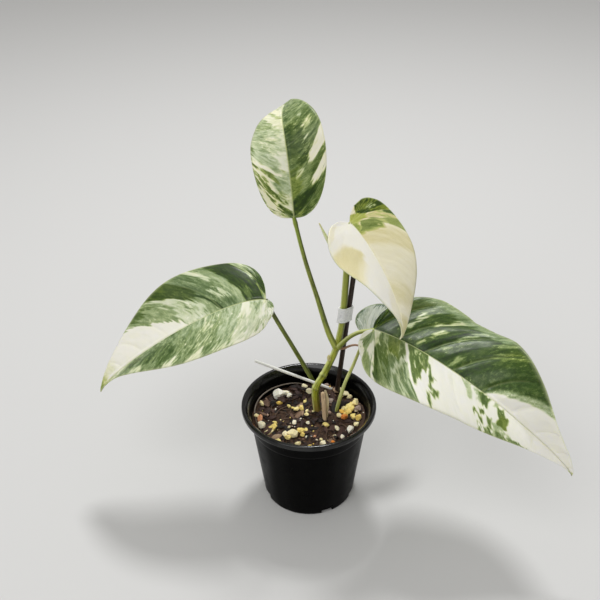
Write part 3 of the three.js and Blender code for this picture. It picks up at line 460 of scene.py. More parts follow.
        (0.57, 0.6, [(0.08, 0.485, 0.505), (0.15, 0.455, 0.51), (0.35, 0.448, 0.5),
                     (0.55, 0.45, 0.475)], 0.2),
        (0.5, 0.8, [(MID, 0.45, 0.53), (0.08, 0.46, 0.53)], 0.3),
        (0.155, 1, [(MID, 0.53, 0.57), (0.3, 0.5, 0.565), (0.7, 0.46, 0.54), (OUT, 0.43, 0.51)], 0, 0.02),
        (0.15, 0.9, [(MID, 0.72, 0.8), (0.6, 0.7, 0.78), (OUT, 0.68, 0.74)], 0, 0.03),
        (0.18, 0.9, [(MID, 0.86, END), (OUT, 0.82, END)], 0, 0.03),
    ]),
    ("leaf_right", 1): (0.11, 0.05, [
        (0.5, 0.1, [(0.05, 0.14, 0.44), (0.3, 0.14, 0.44), (0.5, 0.14, 0.42), (0.8, 0.13, 0.4),
                    (OUT, 0.13, 0.385)], 0, 0.01),
        (0.6, 0.2, [(0.1, 0.16, 0.3), (0.3, 0.17, 0.3), (0.6, 0.17, 0.26)], 0.25, 0.012),
        # Painted highlight: a white sheen patch
        (0.14, 0.1, [(0.3, 0.38, 0.42), (0.45, 0.33, 0.41), (0.68, 0.29, 0.37)], 0.2, 0.016),
        (0.45, 0.9, [(MID, 0, 0.44), (0.07, 0, 0.43), (0.12, 0, 0.2)]),
        (0.62, 0.3, [(0.38, 0.2, 0.26), (0.6, 0.19, 0.26), (0.82, 0.2, 0.26)], 0.15, 0.01),
        (0.14, 0.2, [(0.2, 0.1, 0.15), (0.6, 0.11, 0.17), (OUT, 0.08, 0.17)], 0.15, 0.01),
        (0.12, 0.3, [(0.78, 0.19, 0.27), (OUT, 0.17, 0.29)], 0.2, 0.008),
        (0.1, 0.4, [(0.3, 0.405, 0.44), (0.5, 0.4, 0.43), (0.75, 0.375, 0.4)], 0.25, 0.006),
        (0.52, 0.4, [(0.75, 0.29, 0.37), (OUT, 0.27, 0.38)], 0.35, 0.01),
        (0.15, 0.2, [(0.8, 0.375, 0.4), (OUT, 0.375, 0.4)], 0.2),
        (0.25, 0.3, [(MID, 0.44, 0.462), (0.2, 0.44, 0.465), (0.4, 0.425, 0.445)]),
        (0.66, 0.5, [(MID, 0.46, 0.545), (0.3, 0.455, 0.54), (0.5, 0.42, 0.5), (0.75, 0.4, 0.47),
                      (OUT, 0.385, 0.47)], 0.05),
        (0.42, 0.3, [(0, 0.46, 0.54), (0.5, 0.43, 0.5)], 0.82),
        (0.78, 0.5, [(0.38, 0.41, 0.44), (0.7, 0.395, 0.42), (0.95, 0.385, 0.4)], 0.1),
        (0.52, 0.2, [(0.6, 0.43, 0.47), (1.1, 0.41, 0.48)], 0.6, 0.01),
        (0.62, 0.9, [(0, 0.49, 0.525), (0.4, 0.48, 0.51)], 0.3),
        (0.62, 0.1, [(0.45, 0.48, 0.54), (0.8, 0.45, 0.535), (OUT, 0.43, 0.53)], 0.1),
        (0.42, 0.1, [(0.5, 0.5, 0.54), (1.1, 0.47, 0.54)], 0.7, 0.01),
        # Painted sheen: a grey diagonal streak of reflected light
        (0.34, 0, [(0.3, 0.535, 0.545), (0.5, 0.508, 0.52), (0.75, 0.468, 0.48),
                   (1.1, 0.425, 0.438)], 0.1, 0.008),
        (0.06, 0.2, [(MID, 0.54, 0.547), (0.4, 0.538, 0.546), (0.75, 0.53, 0.55), (OUT, 0.53, 0.6)]),
        (0.68, 0.6, [(-0.1, 0.55, 0.597), (0.35, 0.546, 0.597), (0.5, 0.545, 0.58), (0.68, 0.541, 0.556),
                     (0.8, 0.54, 0.55)], 0.1),
        (0.4, 0.4, [(0.1, 0.56, 0.59), (0.4, 0.555, 0.585)], 0.78),
        (0.72, 0.6, [(0.25, 0.598, 0.604), (0.55, 0.6, 0.606)], 0.15),
        (0.7, 0.6, [(0.5, 0.597, 0.612), (0.62, 0.59, 0.6), (0.72, 0.585, 0.592)], 0.3),
        (0.68, 0.6, [(0.7, 0.6, 0.612), (0.82, 0.58, 0.6)], 0.4),
        (0.7, 0.6, [(0.85, 0.568, 0.58), (1, 0.565, 0.578)], 0.3),
        (0.42, 0.1, [(0.03, 0.68, 0.705), (0.2, 0.69, 0.705), (0.4, 0.697, 0.707)], 0.35),
        (0.4, 0.1, [(0.02, 0.712, 0.722), (0.3, 0.715, 0.725)], 0.5),
        (0.68, 0.4, [(0.08, 0.722, 0.748), (0.3, 0.725, 0.746), (0.4, 0.73, 0.742)], 0.15),
        (0.72, 0.6, [(0.55, 0.703, 0.712), (0.66, 0.702, 0.713)], 0.1),
        (0.72, 0.6, [(0.48, 0.72, 0.733), (0.6, 0.72, 0.732)], 0.1),
        (0.68, 0.6, [(0.66, 0.714, 0.722), (0.8, 0.71, 0.722)], 0.3),
        (0.6, 0.5, [(0.6, 0.738, 0.75), (0.85, 0.735, 0.748)], 0.3),
        (0.66, 0.5, [(0.86, 0.7, 0.76), (OUT, 0.69, 0.77)], 0.5),
        (0, 0.1, [(MID, 0.86, END), (OUT, 0.86, END)], 0, 0.05),
        (0.66, 0.4, [(0.12, 0.765, 0.777), (0.3, 0.768, 0.786), (0.45, 0.77, 0.783)], 0.1),
        (0.62, 0.9, [(0.3, 0.775, 0.793), (0.5, 0.767, 0.79), (0.66, 0.76, 0.785),
                     (0.72, 0.76, 0.775)], 0.35),
        (0.42, 0.1, [(0.7, 0.75, 0.78), (0.85, 0.745, 0.79), (OUT, 0.73, 0.82)], 0.5),
        (0.62, 0.3, [(0.9, 0.75, 0.82), (OUT, 0.74, 0.85)], 0.3),
        (0.45, 0.2, [(0, 0.757, 0.765), (0.2, 0.757, 0.767)], 0.6),
        (0.3, 0.6, [(MID, 0.955, END), (OUT, 0.96, END)]),
    ]),
    ("leaf_right", -1): (0.8, 0.5, [
        (0.9, 0.7, [(MID, 0, 0.4), (0.3, 0, 0.4), (OUT, 0, 0.33)]),
        (0.62, 1, [(MID, 0, 0.36), (0.12, 0, 0.34), (0.2, 0, 0.15)]),
        (0.68, 0.7, [(0.3, 0.3, 0.33), (0.6, 0.25, 0.28), (0.95, 0.2, 0.22)], 0.6),
        (0.72, 0.4, [(0.6, 0.33, 0.42), (OUT, 0.29, 0.42)]),
        (0.86, 0.5, [(MID, 0.39, 0.45), (0.3, 0.39, 0.43)]),
        (0.3, 0.2, [(0.25, 0.435, 0.45), (0.42, 0.425, 0.44), (0.62, 0.405, 0.42)], 0.45),
        (0.32, 0.35, [(0.5, 0.46, 0.475), (0.8, 0.445, 0.472), (0.95, 0.44, 0.46)], 0.4),
        (0.34, 0.4, [(0.33, 0.495, 0.507), (0.5, 0.49, 0.503)], 0.45),
        (0.4, 0.5, [(0.05, 0.5, 0.51), (0.3, 0.505, 0.515)], 0.75),
        # Painted shade: a dark line in a vein valley
        (0.95, 0.5, [(MID, 0.518, 0.54), (0.4, 0.52, 0.536), (0.7, 0.51, 0.525)]),
        (0.5, 0.1, [(0.45, 0.535, 0.545), (0.8, 0.51, 0.53), (OUT, 0.48, 0.5)], 0.6),
        (0.5, 0.4, [(0.05, 0.57, 0.585), (0.3, 0.54, 0.56)], 0.8),
        (0.55, 0.4, [(0.7, 0.57, 0.59), (1.1, 0.55, 0.58)], 0.7),
        # Painted shade: a dark line in a vein valley
        (0.92, 0.5, [(MID, 0.575, 0.588), (0.5, 0.57, 0.58)]),
        (0.5, 0.4, [(0, 0.6, 0.61), (0.3, 0.58, 0.6)], 0.8),
        (0.6, 0.7, [(0.6, 0.6, 0.63), (0.95, 0.6, 0.63)], 0.7),
        # Painted shade: a dark line in a vein valley
        (0.93, 0.5, [(MID, 0.628, 0.642), (0.5, 0.628, 0.638)]),
        # Painted sheen: a grey band of reflected light along the margin
        (0.56, 0, [(0.85, 0.36, 0.56), (OUT, 0.34, 0.6)], 0.2),
        (0.8, 0.3, [(MID, 0.645, 0.7), (0.4, 0.645, 0.72), (OUT, 0.65, 0.76)], 0.05),
        (0.46, 0, [(0.05, 0.69, 0.71), (0.3, 0.705, 0.735), (0.6, 0.722, 0.755), (0.95, 0.738, 0.78),
                     (OUT, 0.742, 0.79)], 0, 0.012),
        (0.03, 0.1, [(MID, 0.665, END), (0.1, 0.7, END), (0.35, 0.728, END), (0.6, 0.752, END),
                     (OUT, 0.785, END)], 0, 0.008),
        (0.3, 0.6, [(MID, 0.965, END), (OUT, 0.96, END)]),
    ]),
    ("leaf_small", 1): (0.45, 0, [
        (0.3, 0, [(MID, 0.3, 0.34), (OUT, 0.25, 0.28)]),
        (0.3, 0, [(MID, 0.5, 0.54), (OUT, 0.45, 0.5)]),
    ]),
    ("leaf_small", -1): (0.4, 0, [
        (0.26, 0, [(0.1, 0.1, 0.6), (0.9, 0.1, 0.6)], 0.6),
        (0.5, 0, [(0.3, 0.1, 0.4), (OUT, 0.08, 0.4)], 0.7),
        (0.22, 0, [(0.1, 0.3, 0.33), (OUT, 0.22, 0.25)]),
        (0.22, 0, [(MID, 0.46, 0.49), (OUT, 0.4, 0.43)]),
        (0.85, 0, [(0.9, 0, 0.9), (OUT, 0, 0.9)], 0.1),
    ]),
}
SOFT_END = 0.004
SOFT_SIDE = 0.05


def pattern(name, side, share, r):
    """Greenness and tint of a half blade, with ragged borders and uneven greens."""
    base, base_tint, patches = PATTERNS[name, side]
    seed = 100 + 7 * sorted(LEAVES).index(name) + (3 if side > 0 else 0)
    ragged = on_side(RAGGED[name], side)
    shift = 0.005 * noise(share * 40, r * 4, seed) + 0.003 * noise(share * 150, r * 9, seed + 1)
    fringe = 0.1 * noise(share * 90, r * 1.2, seed + 2) + 0.07 * noise(share * 260, r * 3, seed + 3)
    holes = noise(share * 210, r * 9, seed + 4, 2) + 0.35 * noise(share * 60, r * 3, seed + 8)
    s, q = share + ragged * shift, r + ragged * fringe
    green = np.full_like(s, base)
    tint = np.full_like(s, base_tint)
    for target, colour, strip, *more in patches:
        broken, soft = (*more, *(0, SOFT_END)[len(more):])
        at, lows, highs = zip(*strip)
        inside = np.minimum(s - np.interp(q, at, lows), np.interp(q, at, highs) - s) / soft
        ends = np.minimum(q - at[0], at[-1] - q) / SOFT_SIDE
        edge = np.minimum(inside, ends)
        if broken:
            edge = np.minimum(edge, 3 * (holes + 1.05 - 1.5 * broken))
        mask = np.clip(0.5 + edge, 0, 1)
        green = green * (1 - mask) + target * mask
        tint = tint * (1 - mask) + colour * mask
    uneven = 0.07 * noise(share * 110, r * 3, seed + 5) + 0.06 * noise(share * 260, r * 7, seed + 6)
    return green + ragged * uneven * smooth(-0.1, 0.35, green), tint


# Meshes


def make_piece(name, node, slot, material, points, faces, fields=None, flat=False):
    """A piece that replaces a node, from points in millimetres. Fields are values at the points."""
    mesh = bpy.data.meshes.new(name)
    mesh.from_pydata((np.asarray(points, float) * MM).tolist(), [], faces)
    for key, values in (fields or {}).items():
        values = np.asarray(values, np.float32)
        kind, entry = ("FLOAT", "value") if values.ndim == 1 else ("FLOAT_VECTOR", "vector")
        mesh.attributes.new(key, kind, "POINT").data.foreach_set(entry, values.ravel())
    if not flat:
        mesh.shade_smooth()
    mesh.update()
    piece = bpy.data.objects.new(name, mesh)
    bpy.context.scene.collection.objects.link(piece)
    mesh.materials.append(material)
    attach(piece, "root")
    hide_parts(node)
    return piece


def quads(grid, flip=False):
    """Faces between the neighbours of a grid of point numbers. A corner used twice gives a triangle."""
    faces = []
    rows = grid.tolist()
    for upper, lower in zip(rows[:-1], rows[1:]):
        for k in range(len(upper) - 1):
            corners = [upper[k], upper[k + 1], lower[k + 1], lower[k]]
            face = [c for i, c in enumerate(corners) if c != corners[i - 1]]
            if len(face) > 2:
                faces.append(face[::-1] if flip else face)
    return faces


def closed_round(grid):
    """A grid of point numbers whose last column is its first again."""
    return np.hstack([grid, grid[:, :1]])


def fan(centre, ring, flip=False):
    """Triangles from a centre to a closed ring of point numbers."""
    pairs = zip(ring.tolist(), ring.tolist()[1:])
    return [[centre, b, a] if flip else [centre, a, b] for a, b in pairs]


def full_turn(count):
    return np.arange(count) * 2 * np.pi / count


SPAN_STEPS = 60


def curve_points(path, count=None, spacing=None):
    """Evenly spaced points of a centripetal Catmull-Rom curve through the path, and their places."""
    p = np.array(path, float)
    p = np.vstack([2 * p[0] - p[1], p, 2 * p[-1] - p[-2]])
    pieces = []
    for p0, p1, p2, p3 in zip(p, p[1:], p[2:], p[3:]):
        d0, d1, d2 = (math.sqrt(np.linalg.norm(b - a)) for a, b in ((p0, p1), (p1, p2), (p2, p3)))
        m1 = ((p1 - p0) / d0 - (p2 - p0) / (d0 + d1) + (p2 - p1) / d1) * d1
        m2 = ((p2 - p1) / d1 - (p3 - p1) / (d1 + d2) + (p3 - p2) / d2) * d1
        t = np.linspace(0, 1, SPAN_STEPS, endpoint=False)[:, None]
        pieces.append((2 * t**3 - 3 * t * t + 1) * p1 + (t**3 - 2 * t * t + t) * m1
                      + (3 * t * t - 2 * t**3) * p2 + (t**3 - t * t) * m2)
    line = np.vstack([*pieces, p[-2:-1]])
    arc = np.concatenate([[0], np.cumsum(np.linalg.norm(np.diff(line, axis=0), axis=1))])
    even = np.linspace(0, arc[-1], count or max(int(arc[-1] / spacing), 4))
    return np.stack([np.interp(even, arc, line[:, i]) for i in range(3)], 1), even


def along_rod(share, values):
    return np.interp(share, np.linspace(0, 1, len(values)), values)


# Rounded ends of rods: rings that close in to a point a little past the end, in quarter turns.
# RING_REACH is about half the width of a mark round a rod, as a share of its length.
CAP_TURNS = (0.35, 0.62, 0.82, 0.94)
RING_REACH = 0.003


def tube(path, diameters, sides=16, spacing=1.2, shape=None, round_end=(0.25, 0.25), rings=()):
    """A rod along a path. shape(arc, share, angle) gives what is added to its radius, and round_end
    how far each end bulges, in radii of its first end. Returns points, faces and the fields "skin",
    a place round and along it, "share" of the length, and "rings", marks round it at these shares."""
    line, arc = curve_points(path, spacing=spacing)
    forward = unit(np.gradient(line, axis=0))
    aside = np.zeros_like(line)
    start = np.cross(forward[0], (0, 1, 0) if abs(forward[0][1]) < 0.8 else (1, 0, 0))
    for i, direction in enumerate(forward):
        start = unit(start - direction * (start @ direction))
        aside[i] = start
    up = np.cross(forward, aside)

    share = arc / arc[-1]
    radius = along_rod(share, diameters) / 2
    angle = full_turn(sides)
    reach = np.repeat(radius[:, None], sides, 1)
    if shape is not None:
        reach = reach + shape(arc[:, None], share[:, None], angle[None, :])
    around = aside[:, None] * np.cos(angle)[None, :, None] + up[:, None] * np.sin(angle)[None, :, None]
    skin_rings = line[:, None] + around * reach[..., None]

    def cap(end, direction, bulge):
        quarter = [turn * math.pi / 2 for turn in CAP_TURNS]
        return [line[end] + (skin_rings[end] - line[end]) * math.cos(q)
                + direction * bulge * radius[0] * math.sin(q) for q in quarter]

    first = cap(0, -forward[0], round_end[0])
    last = cap(-1, forward[-1], round_end[1])
    points = np.concatenate([first[::-1], skin_rings, last])
    rows, caps = len(points), len(CAP_TURNS)
    arc = np.pad(arc, caps, "edge")[:, None]
    grid = closed_round(np.arange(rows * sides).reshape(rows, sides))
    count = rows * sides
    faces = quads(grid) + fan(count, grid[0], flip=True) + fan(count + 1, grid[-1])
    points = points.reshape(-1, 3)
    ends = [points[:sides].mean(0), points[-sides:].mean(0)]
    skin = np.stack(np.broadcast_arrays(np.cos(angle) * 2, np.sin(angle) * 2, arc), -1).reshape(-1, 3)
    shares = np.concatenate([np.repeat(np.pad(share, caps, "edge"), sides), [0, 1]])
    marks = sum((hump(shares, place, RING_REACH) for place in rings), 0 * shares)
    fields = {"skin": np.vstack([skin, [[0, 0, 0], [0, 0, arc[-1, 0]]]]), "share": shares, "rings": marks}
    return np.vstack([points, ends]), faces, fields


def joined(parts):
    """Several (points, faces, fields) as one."""
    points, faces, fields, start = [], [], {}, 0
    for part_points, part_faces, part_fields in parts:
        points.append(part_points)
        faces.extend([[c + start for c in face] for face in part_faces])
        start += len(part_points)
        for key, values in part_fields.items():
            fields.setdefault(key, []).append(values)
    return np.vstack(points), faces, {key: np.concatenate(values) for key, values in fields.items()}


# Materials


def linear(colour):
    """A display colour, three numbers from 0 to 255, as scene light with alpha."""
    share = [c / 255 for c in colour]
    return tuple(c / 12.92 if c <= 0.04045 else ((c + 0.055) / 1.055)**2.4 for c in share) + (1,)


def darker(colour, share=0.6):
    return tuple(share * c for c in colour)


class Wire:
    """What a node of a material puts out. Sums and products of wires are nodes too."""

    def __init__(self, paint, socket):
        self.paint = paint
        self.socket = socket

    def __add__(self, other):
        return self.paint.math("ADD", self, other)

    def __sub__(self, other):
        return self.paint.math("SUBTRACT", self, other)

    def __mul__(self, other):
        return self.paint.math("MULTIPLY", self, other)


class Paint:
    """A material, and its nodes as they are added."""

    def __init__(self, name, roughness):
        self.material = bpy.data.materials.new(name)
        self.material.use_nodes = True
        self.tree = self.material.node_tree
        self.shader = self.tree.nodes["Principled BSDF"]
        self.set("Roughness", roughness)

    def put(self, socket, value):
        if isinstance(value, Wire):
            self.tree.links.new(value.socket, socket)
        else:
            socket.default_value = value

    def set(self, key, value):
        self.put(self.shader.inputs[key], value)

    def translucent(self, weight, radius):
        """Light that goes a little way into the skin: how much, and how many millimetres by colour."""
        self.set("Subsurface Weight", weight)
        self.set("Subsurface Radius", radius)
        self.set("Subsurface Scale", MM)

    def node(self, kind, inputs, output, **settings):
        node = self.tree.nodes.new(kind)
        for key, value in settings.items():
            setattr(node, key, value)
        for key, value in inputs.items():
            self.put(node.inputs[key], value)
        return Wire(self, node.outputs[output])

    def field(self, name, output="Fac"):
        return self.node("ShaderNodeAttribute", {}, output, attribute_name=name)

    def place(self, name=None, scale=(1, 1, 1), offset=(0, 0, 0)):
        """Coordinates: a vector field, or the object's own in millimetres, stretched."""
        if name:
            source = self.field(name, "Vector")
        else:
            source = self.node("ShaderNodeTexCoord", {}, "Object")
            scale = tuple(s / MM for s in scale)
        inputs = {"Vector": source, "Scale": scale, "Location": offset}
        return self.node("ShaderNodeMapping", inputs, "Vector")

    def axis(self, where, name):
        return self.node("ShaderNodeSeparateXYZ", {"Vector": where}, name)

    def noise(self, where, scale=1.0, detail=2.0, roughness=0.5):
        inputs = {"Vector": where, "Scale": scale, "Detail": detail, "Roughness": roughness}
        return self.node("ShaderNodeTexNoise", inputs, "Fac")

    def cells(self, where, scale):
        return self.node("ShaderNodeTexVoronoi", {"Vector": where, "Scale": scale}, "Distance", feature="F1")

    def math(self, operation, a, b):
        return self.node("ShaderNodeMath", {0: a, 1: b}, "Value", operation=operation)

    def spread(self, value, low, high, to_low=0.0, to_high=1.0):
        """A value's range from low to high as another range."""
        inputs = {"Value": value, "From Min": low, "From Max": high, "To Min": to_low, "To Max": to_high}
        return self.node("ShaderNodeMapRange", inputs, "Result", clamp=True)

    def ramp(self, value, stops):
        """Colours at places from 0 to 1."""
        wire = self.node("ShaderNodeValToRGB", {"Fac": value}, "Color")
        elements = wire.socket.node.color_ramp.elements
        while len(elements) < len(stops):
            elements.new(0.5)
        for element, (place, colour) in zip(elements, stops):
            element.position = place
            element.color = linear(colour)
        return wire

    def mix(self, factor, a, b):
        a, b = (linear(v) if isinstance(v, tuple) else v for v in (a, b))
        return self.node("ShaderNodeMix", {0: factor, 6: a, 7: b}, 2, data_type="RGBA")

    def bump(self, height, depth_mm):
        inputs = {"Height": height, "Distance": depth_mm * MM, "Strength": 1}
        return self.node("ShaderNodeBump", inputs, "Normal")

    def done(self, colour, roughness=None, normal=None):
        for key, value in (("Base Color", colour), ("Roughness", roughness), ("Normal", normal)):
            if value is not None:
                self.set(key, value)
        return self.material


# Skin colours from white to the darkest green
GREY_GREENS = [(0.06, (233, 231, 222)), (0.2, (219, 221, 203)), (0.36, (184, 194, 164)),
               (0.5, (142, 158, 120)), (0.64, (94, 116, 72)), (0.8, (45, 72, 26)), (0.97, (22, 43, 10))]
YELLOW_GREENS = [(0.06, (238, 232, 210)), (0.2, (226, 222, 178)), (0.36, (188, 192, 122)),
                 (0.5, (140, 154, 72)), (0.64, (94, 114, 38)), (0.8, (56, 80, 16)), (0.97, (28, 48, 5))]
CREAM_GREENS = [(0, (238, 235, 222)), (0.1, (230, 222, 196)), (0.2, (200, 190, 142)),
                (0.34, (180, 184, 104)), (0.5, (142, 152, 58)), (0.64, (98, 114, 34)),
                (0.8, (54, 76, 14)), (0.97, (26, 46, 5))]
# The small leaf's greys: a painted reflection of the sky, as silvery sheen over its greens
SKY_SHEEN_GREENS = [(0.06, (232, 235, 228)), (0.3, (200, 206, 200)), (0.5, (158, 170, 160)),
                 (0.7, (112, 130, 114)), (0.97, (58, 80, 60))]


def leaf_paint(name):
    """Variegated skin: greens by the fields green and tint, flecks along the veins, pale veins."""
    cream = name == "leaf_cream"
    paint = Paint(name, 0.4)
    green, tint, flecked, under = (paint.field(key) for key in ("green", "tint", "fleck", "under"))
    streaks = paint.noise(paint.place("flow", (0.5, 0.17, 1)), 1, 5, 0.68)
    broad = paint.noise(paint.place("flow", (0.1, 0.06, 1), (7, 3, 0)))
    flecks = paint.noise(paint.place("flow", (0.8, 0.3, 1), (1, 9, 0)), 1, 4, 0.66)
    fine = paint.noise(paint.place("flow", (3.2, 1.4, 1)))
    on_green = paint.spread(green, 0.12, 0.45)
    level = green + (streaks - 0.5) * paint.spread(on_green, 0, 1, 0.08, 0.75) * flecked
    pale = paint.spread(flecks, 0.55, 0.7) * paint.spread(broad, 0.4, 0.6) * on_green * 0.42
    level = level - pale * flecked + (fine - 0.5) * paint.spread(on_green, 0, 1, 0.05, 0.16)
    warm = tint + (broad - 0.5) * (0.1 if cream else 0.4)
    # The small leaf's silvery grey is a painted reflection
    if name == "leaf_small":
        colour = paint.ramp(level, SKY_SHEEN_GREENS)
    else:
        warm_greens = CREAM_GREENS if cream else YELLOW_GREENS
        colour = paint.mix(warm, paint.ramp(level, GREY_GREENS), paint.ramp(level, warm_greens))

    # The midrib is pale and wide, the side veins are only a little paler, and the margin is pale
    midrib = paint.spread(paint.field("across"), 0.8, 0.3) * paint.spread(green, 0, 0.4, 0.25, 0.6)
    vein = paint.spread(paint.field("vein"), 0.6, 1, 0, 0.2) * on_green
    colour = paint.mix(midrib, colour, (240, 236, 206) if cream else (196, 202, 146))
    colour = paint.mix(vein, colour, (176, 190, 120))
    colour = paint.mix(paint.field("margin") * 0.3, colour, (214, 218, 176))
    colour = paint.mix(under * 0.35, colour, (186, 200, 160))
    paint.translucent(0.7, (2.4, 2.4, 1.6))
    paint.set("Specular IOR Level", 0.3)
    cells = paint.cells(paint.place("blade"), 1.6)
    rough = paint.spread(streaks, 0.3, 0.7, 0.3, 0.44) + under * 0.15
    return paint.done(colour, rough, paint.bump(fine * 0.6 + cells * 0.5, 0.04))


# Leaves


def vein_relief(name, side, index, r, along, across):
    """How far a place on the blade lies above its smooth surface, and how strong a vein it is."""
    rise = on_side(RELIEF[name], side)
    gap = 2 * np.abs(index / 2 - np.round(index / 2))
    fade = smooth(0.02, 0.22, r) * smooth(1.02, 0.8, r) * smooth(1, 0.86, along)
    vein = hump(gap, 0, 0.13) * smooth(1, 0.7, r) * smooth(-FAN_VEINS + 0.4, -FAN_VEINS + 0.8, index)
    quilt = np.sqrt(gap + 0.05) - 0.6
    seed = 300 + 5 * sorted(LEAVES).index(name) + side
    uneven = 1 + 0.8 * noise(index * 0.45, r * 2, seed)
    crinkle = 0.14 * noise(along * 14, across / 9, seed + 1, 2)
    crinkle = crinkle + 0.05 * noise(along * 60, across / 2.5, seed + 2)
    shoulder = 0.22 * hump(across, 1.3, 0.7) * smooth(1, 0.9, along)
    roll = -0.2 * smooth(0.93, 1, r)**2
    height = fade * rise * (quilt * uneven - VEIN_GROOVE * vein)
    return height + crinkle * smooth(0, 0.1, r) + shoulder + roll, vein


# How fine a blade's mesh is: millimetres between its rows and between its columns, the steps that
# measure its lines, the r at which rows are evenly apart, and how far off the points are that give
# its slopes
ROW_STEP = 0.5
COLUMN_STEP = 0.95
FEWEST_COLUMNS = 18
MIDRIB_STEPS = 201
WALK_STEPS = 2000
WALK_AT = 0.8
SLOPE_ALONG = 0.004
SLOPE_ACROSS = 0.2


def vectors(x, y, z):
    return np.stack(np.broadcast_arrays(x, y, z), -1)


def half_surface(leaf, name, side, index, r, row_walk):
    """Points, normals and fields of a half blade, as arrays over its rows and columns."""
    half = on_side(leaf["halves"], side)
    index, r = np.meshgrid(index, r, indexing="ij")
    along, across, share = vein_rows(leaf, half, index, r)
    places, widths, lifts = zip(*TRIMS.get((name, side), UNTRIMMED))
    across = across * np.interp(share, places, widths)
    lift = np.interp(share, places, lifts) * r**2
    step_along = blade_point(leaf, side, along + SLOPE_ALONG, across) \
        - blade_point(leaf, side, along - SLOPE_ALONG, across)
    step_across = blade_point(leaf, side, along, across + SLOPE_ACROSS) \
        - blade_point(leaf, side, along, np.maximum(across - SLOPE_ACROSS, 0))
    normal = unit(np.cross(step_across, step_along) * side)
    height, vein = vein_relief(name, side, index, r, along, across)
    surface = blade_point(leaf, side, along, across) + normal * (height + lift)[..., None]
    green, tint = pattern(name, side, share, r)
    out = r * half["width"]
    keel = KEEL * (1 - np.clip(along, 0, 1)) * hump(across, 0, KEEL_REACH)
    fields = {
        "green": green, "tint": tint, "across": across, "vein": vein,
        "rib": keel + VEIN_RIB * vein * smooth(1, 0.8, r),
        "margin": smooth(0.955, 0.985, r) * smooth(0, 0.1, share),
        "fleck": np.full_like(r, on_side(FLECKS[name], side)),
        "blade": vectors(side * across, along * leaf["length"], 0),
        "flow": vectors(row_walk[:, None] + FLECK_SLANT * out, out, side * 40),
    }
    return surface, normal, fields


def blade_piece(name):
    """A blade: its midrib's points, then each half's, then all of them again for the underside."""
    leaf = {**LEAVES[name]}
    line = bezier(leaf["midrib"], np.linspace(0, 1, MIDRIB_STEPS))
    leaf["length"] = float(np.linalg.norm(np.diff(line, axis=0), axis=1).sum())
    veins = leaf["veins"]
    columns = max(int(max(half["width"] for half in leaf["halves"]) / COLUMN_STEP), FEWEST_COLUMNS)
    r = np.linspace(0, 1, columns + 1)
    r = r * (0.3 + 0.7 * r)
    r = r / r[-1]

    # Rows are evenly apart near the edge
    index = np.linspace(-FAN_VEINS, veins, WALK_STEPS)
    along, across, _ = vein_rows(leaf, leaf["halves"][0], index, np.full_like(index, WALK_AT))
    walk = np.hypot(np.gradient(along) * leaf["length"], np.gradient(across)).cumsum()
    row_walk = np.linspace(walk[0], walk[-1], int(walk[-1] / ROW_STEP))
    index = np.interp(row_walk, walk, index)
    index[0], index[-1] = -FAN_VEINS, veins

    spine_index = index[index > 0]
    spine_along = np.concatenate([[0], spine_index / veins])
    spine, spine_up, _ = midrib_frame(leaf, spine_along)
    green, tint = pattern(name, 1, 0.4 + 0.6 * spine_along, 0 * spine_along)
    zero = 0 * spine_along
    points, normals = [spine], [spine_up]
    fields = {"green": [green], "tint": [tint], "across": [zero], "vein": [zero + 1], "margin": [zero],
              "fleck": [zero + MIDRIB_FLECKS], "rib": [KEEL * (1 - spine_along)],
              "blade": [vectors(0, spine_along * leaf["length"], 0)],
              "flow": [vectors(spine_along * walk[-1], 0, 0)]}
    last = len(spine) - 1
    start = len(spine)
    spine_number = np.searchsorted(spine_index, index, side="left") + (index > 0)
    grids = {}
    for side in SIDES:
        surface, normal, half_fields = half_surface(leaf, name, side, index, r, row_walk)
        grid = start + np.arange(len(index) * columns).reshape(len(index), columns)
        start += grid.size
        grid = np.hstack([spine_number[:, None], grid])
        grid[-1, :] = last
        grids[side] = grid
        points.append(surface[:, 1:].reshape(-1, 3))
        normals.append(normal[:, 1:].reshape(-1, 3))
        for key, values in half_fields.items():
            fields[key].append(values[:, 1:].reshape(-1, *values.shape[2:]))

    points, normals = np.vstack(points), np.vstack(normals)
    fields = {key: np.concatenate(values) for key, values in fields.items()}
    rib = fields.pop("rib")
    top = points + normals * HALF_THICKNESS
    bottom = points - normals * (HALF_THICKNESS + rib)[:, None]
    count = len(points)
    faces = quads(grids[1]) + quads(grids[-1], flip=True)
    faces = faces + [[c + count for c in face[::-1]] for face in faces]
    right = [0, *grids[1][0, 1:], *grids[1][1:-1, -1], last]
    left = [*grids[-1][0, 1:], *grids[-1][1:-1, -1]]
    loop = [int(c) for c in right + left[::-1]]
    faces += [[a, a + count, b + count, b] for a, b in zip(loop, loop[1:] + loop[:1])]
    fields = {key: np.concatenate([values, values]) for key, values in fields.items()}
    fields["under"] = np.repeat([0.0, 1.0], count)
    make_piece(name + "_blade", name, name, leaf_paint(name), np.vstack([top, bottom]), faces, fields)


for leaf_name in LEAVES:
    blade_piece(leaf_name)

# Stem and stalks: the colours that a stalk turns to at its two ends come with the share of its
# length where each begins


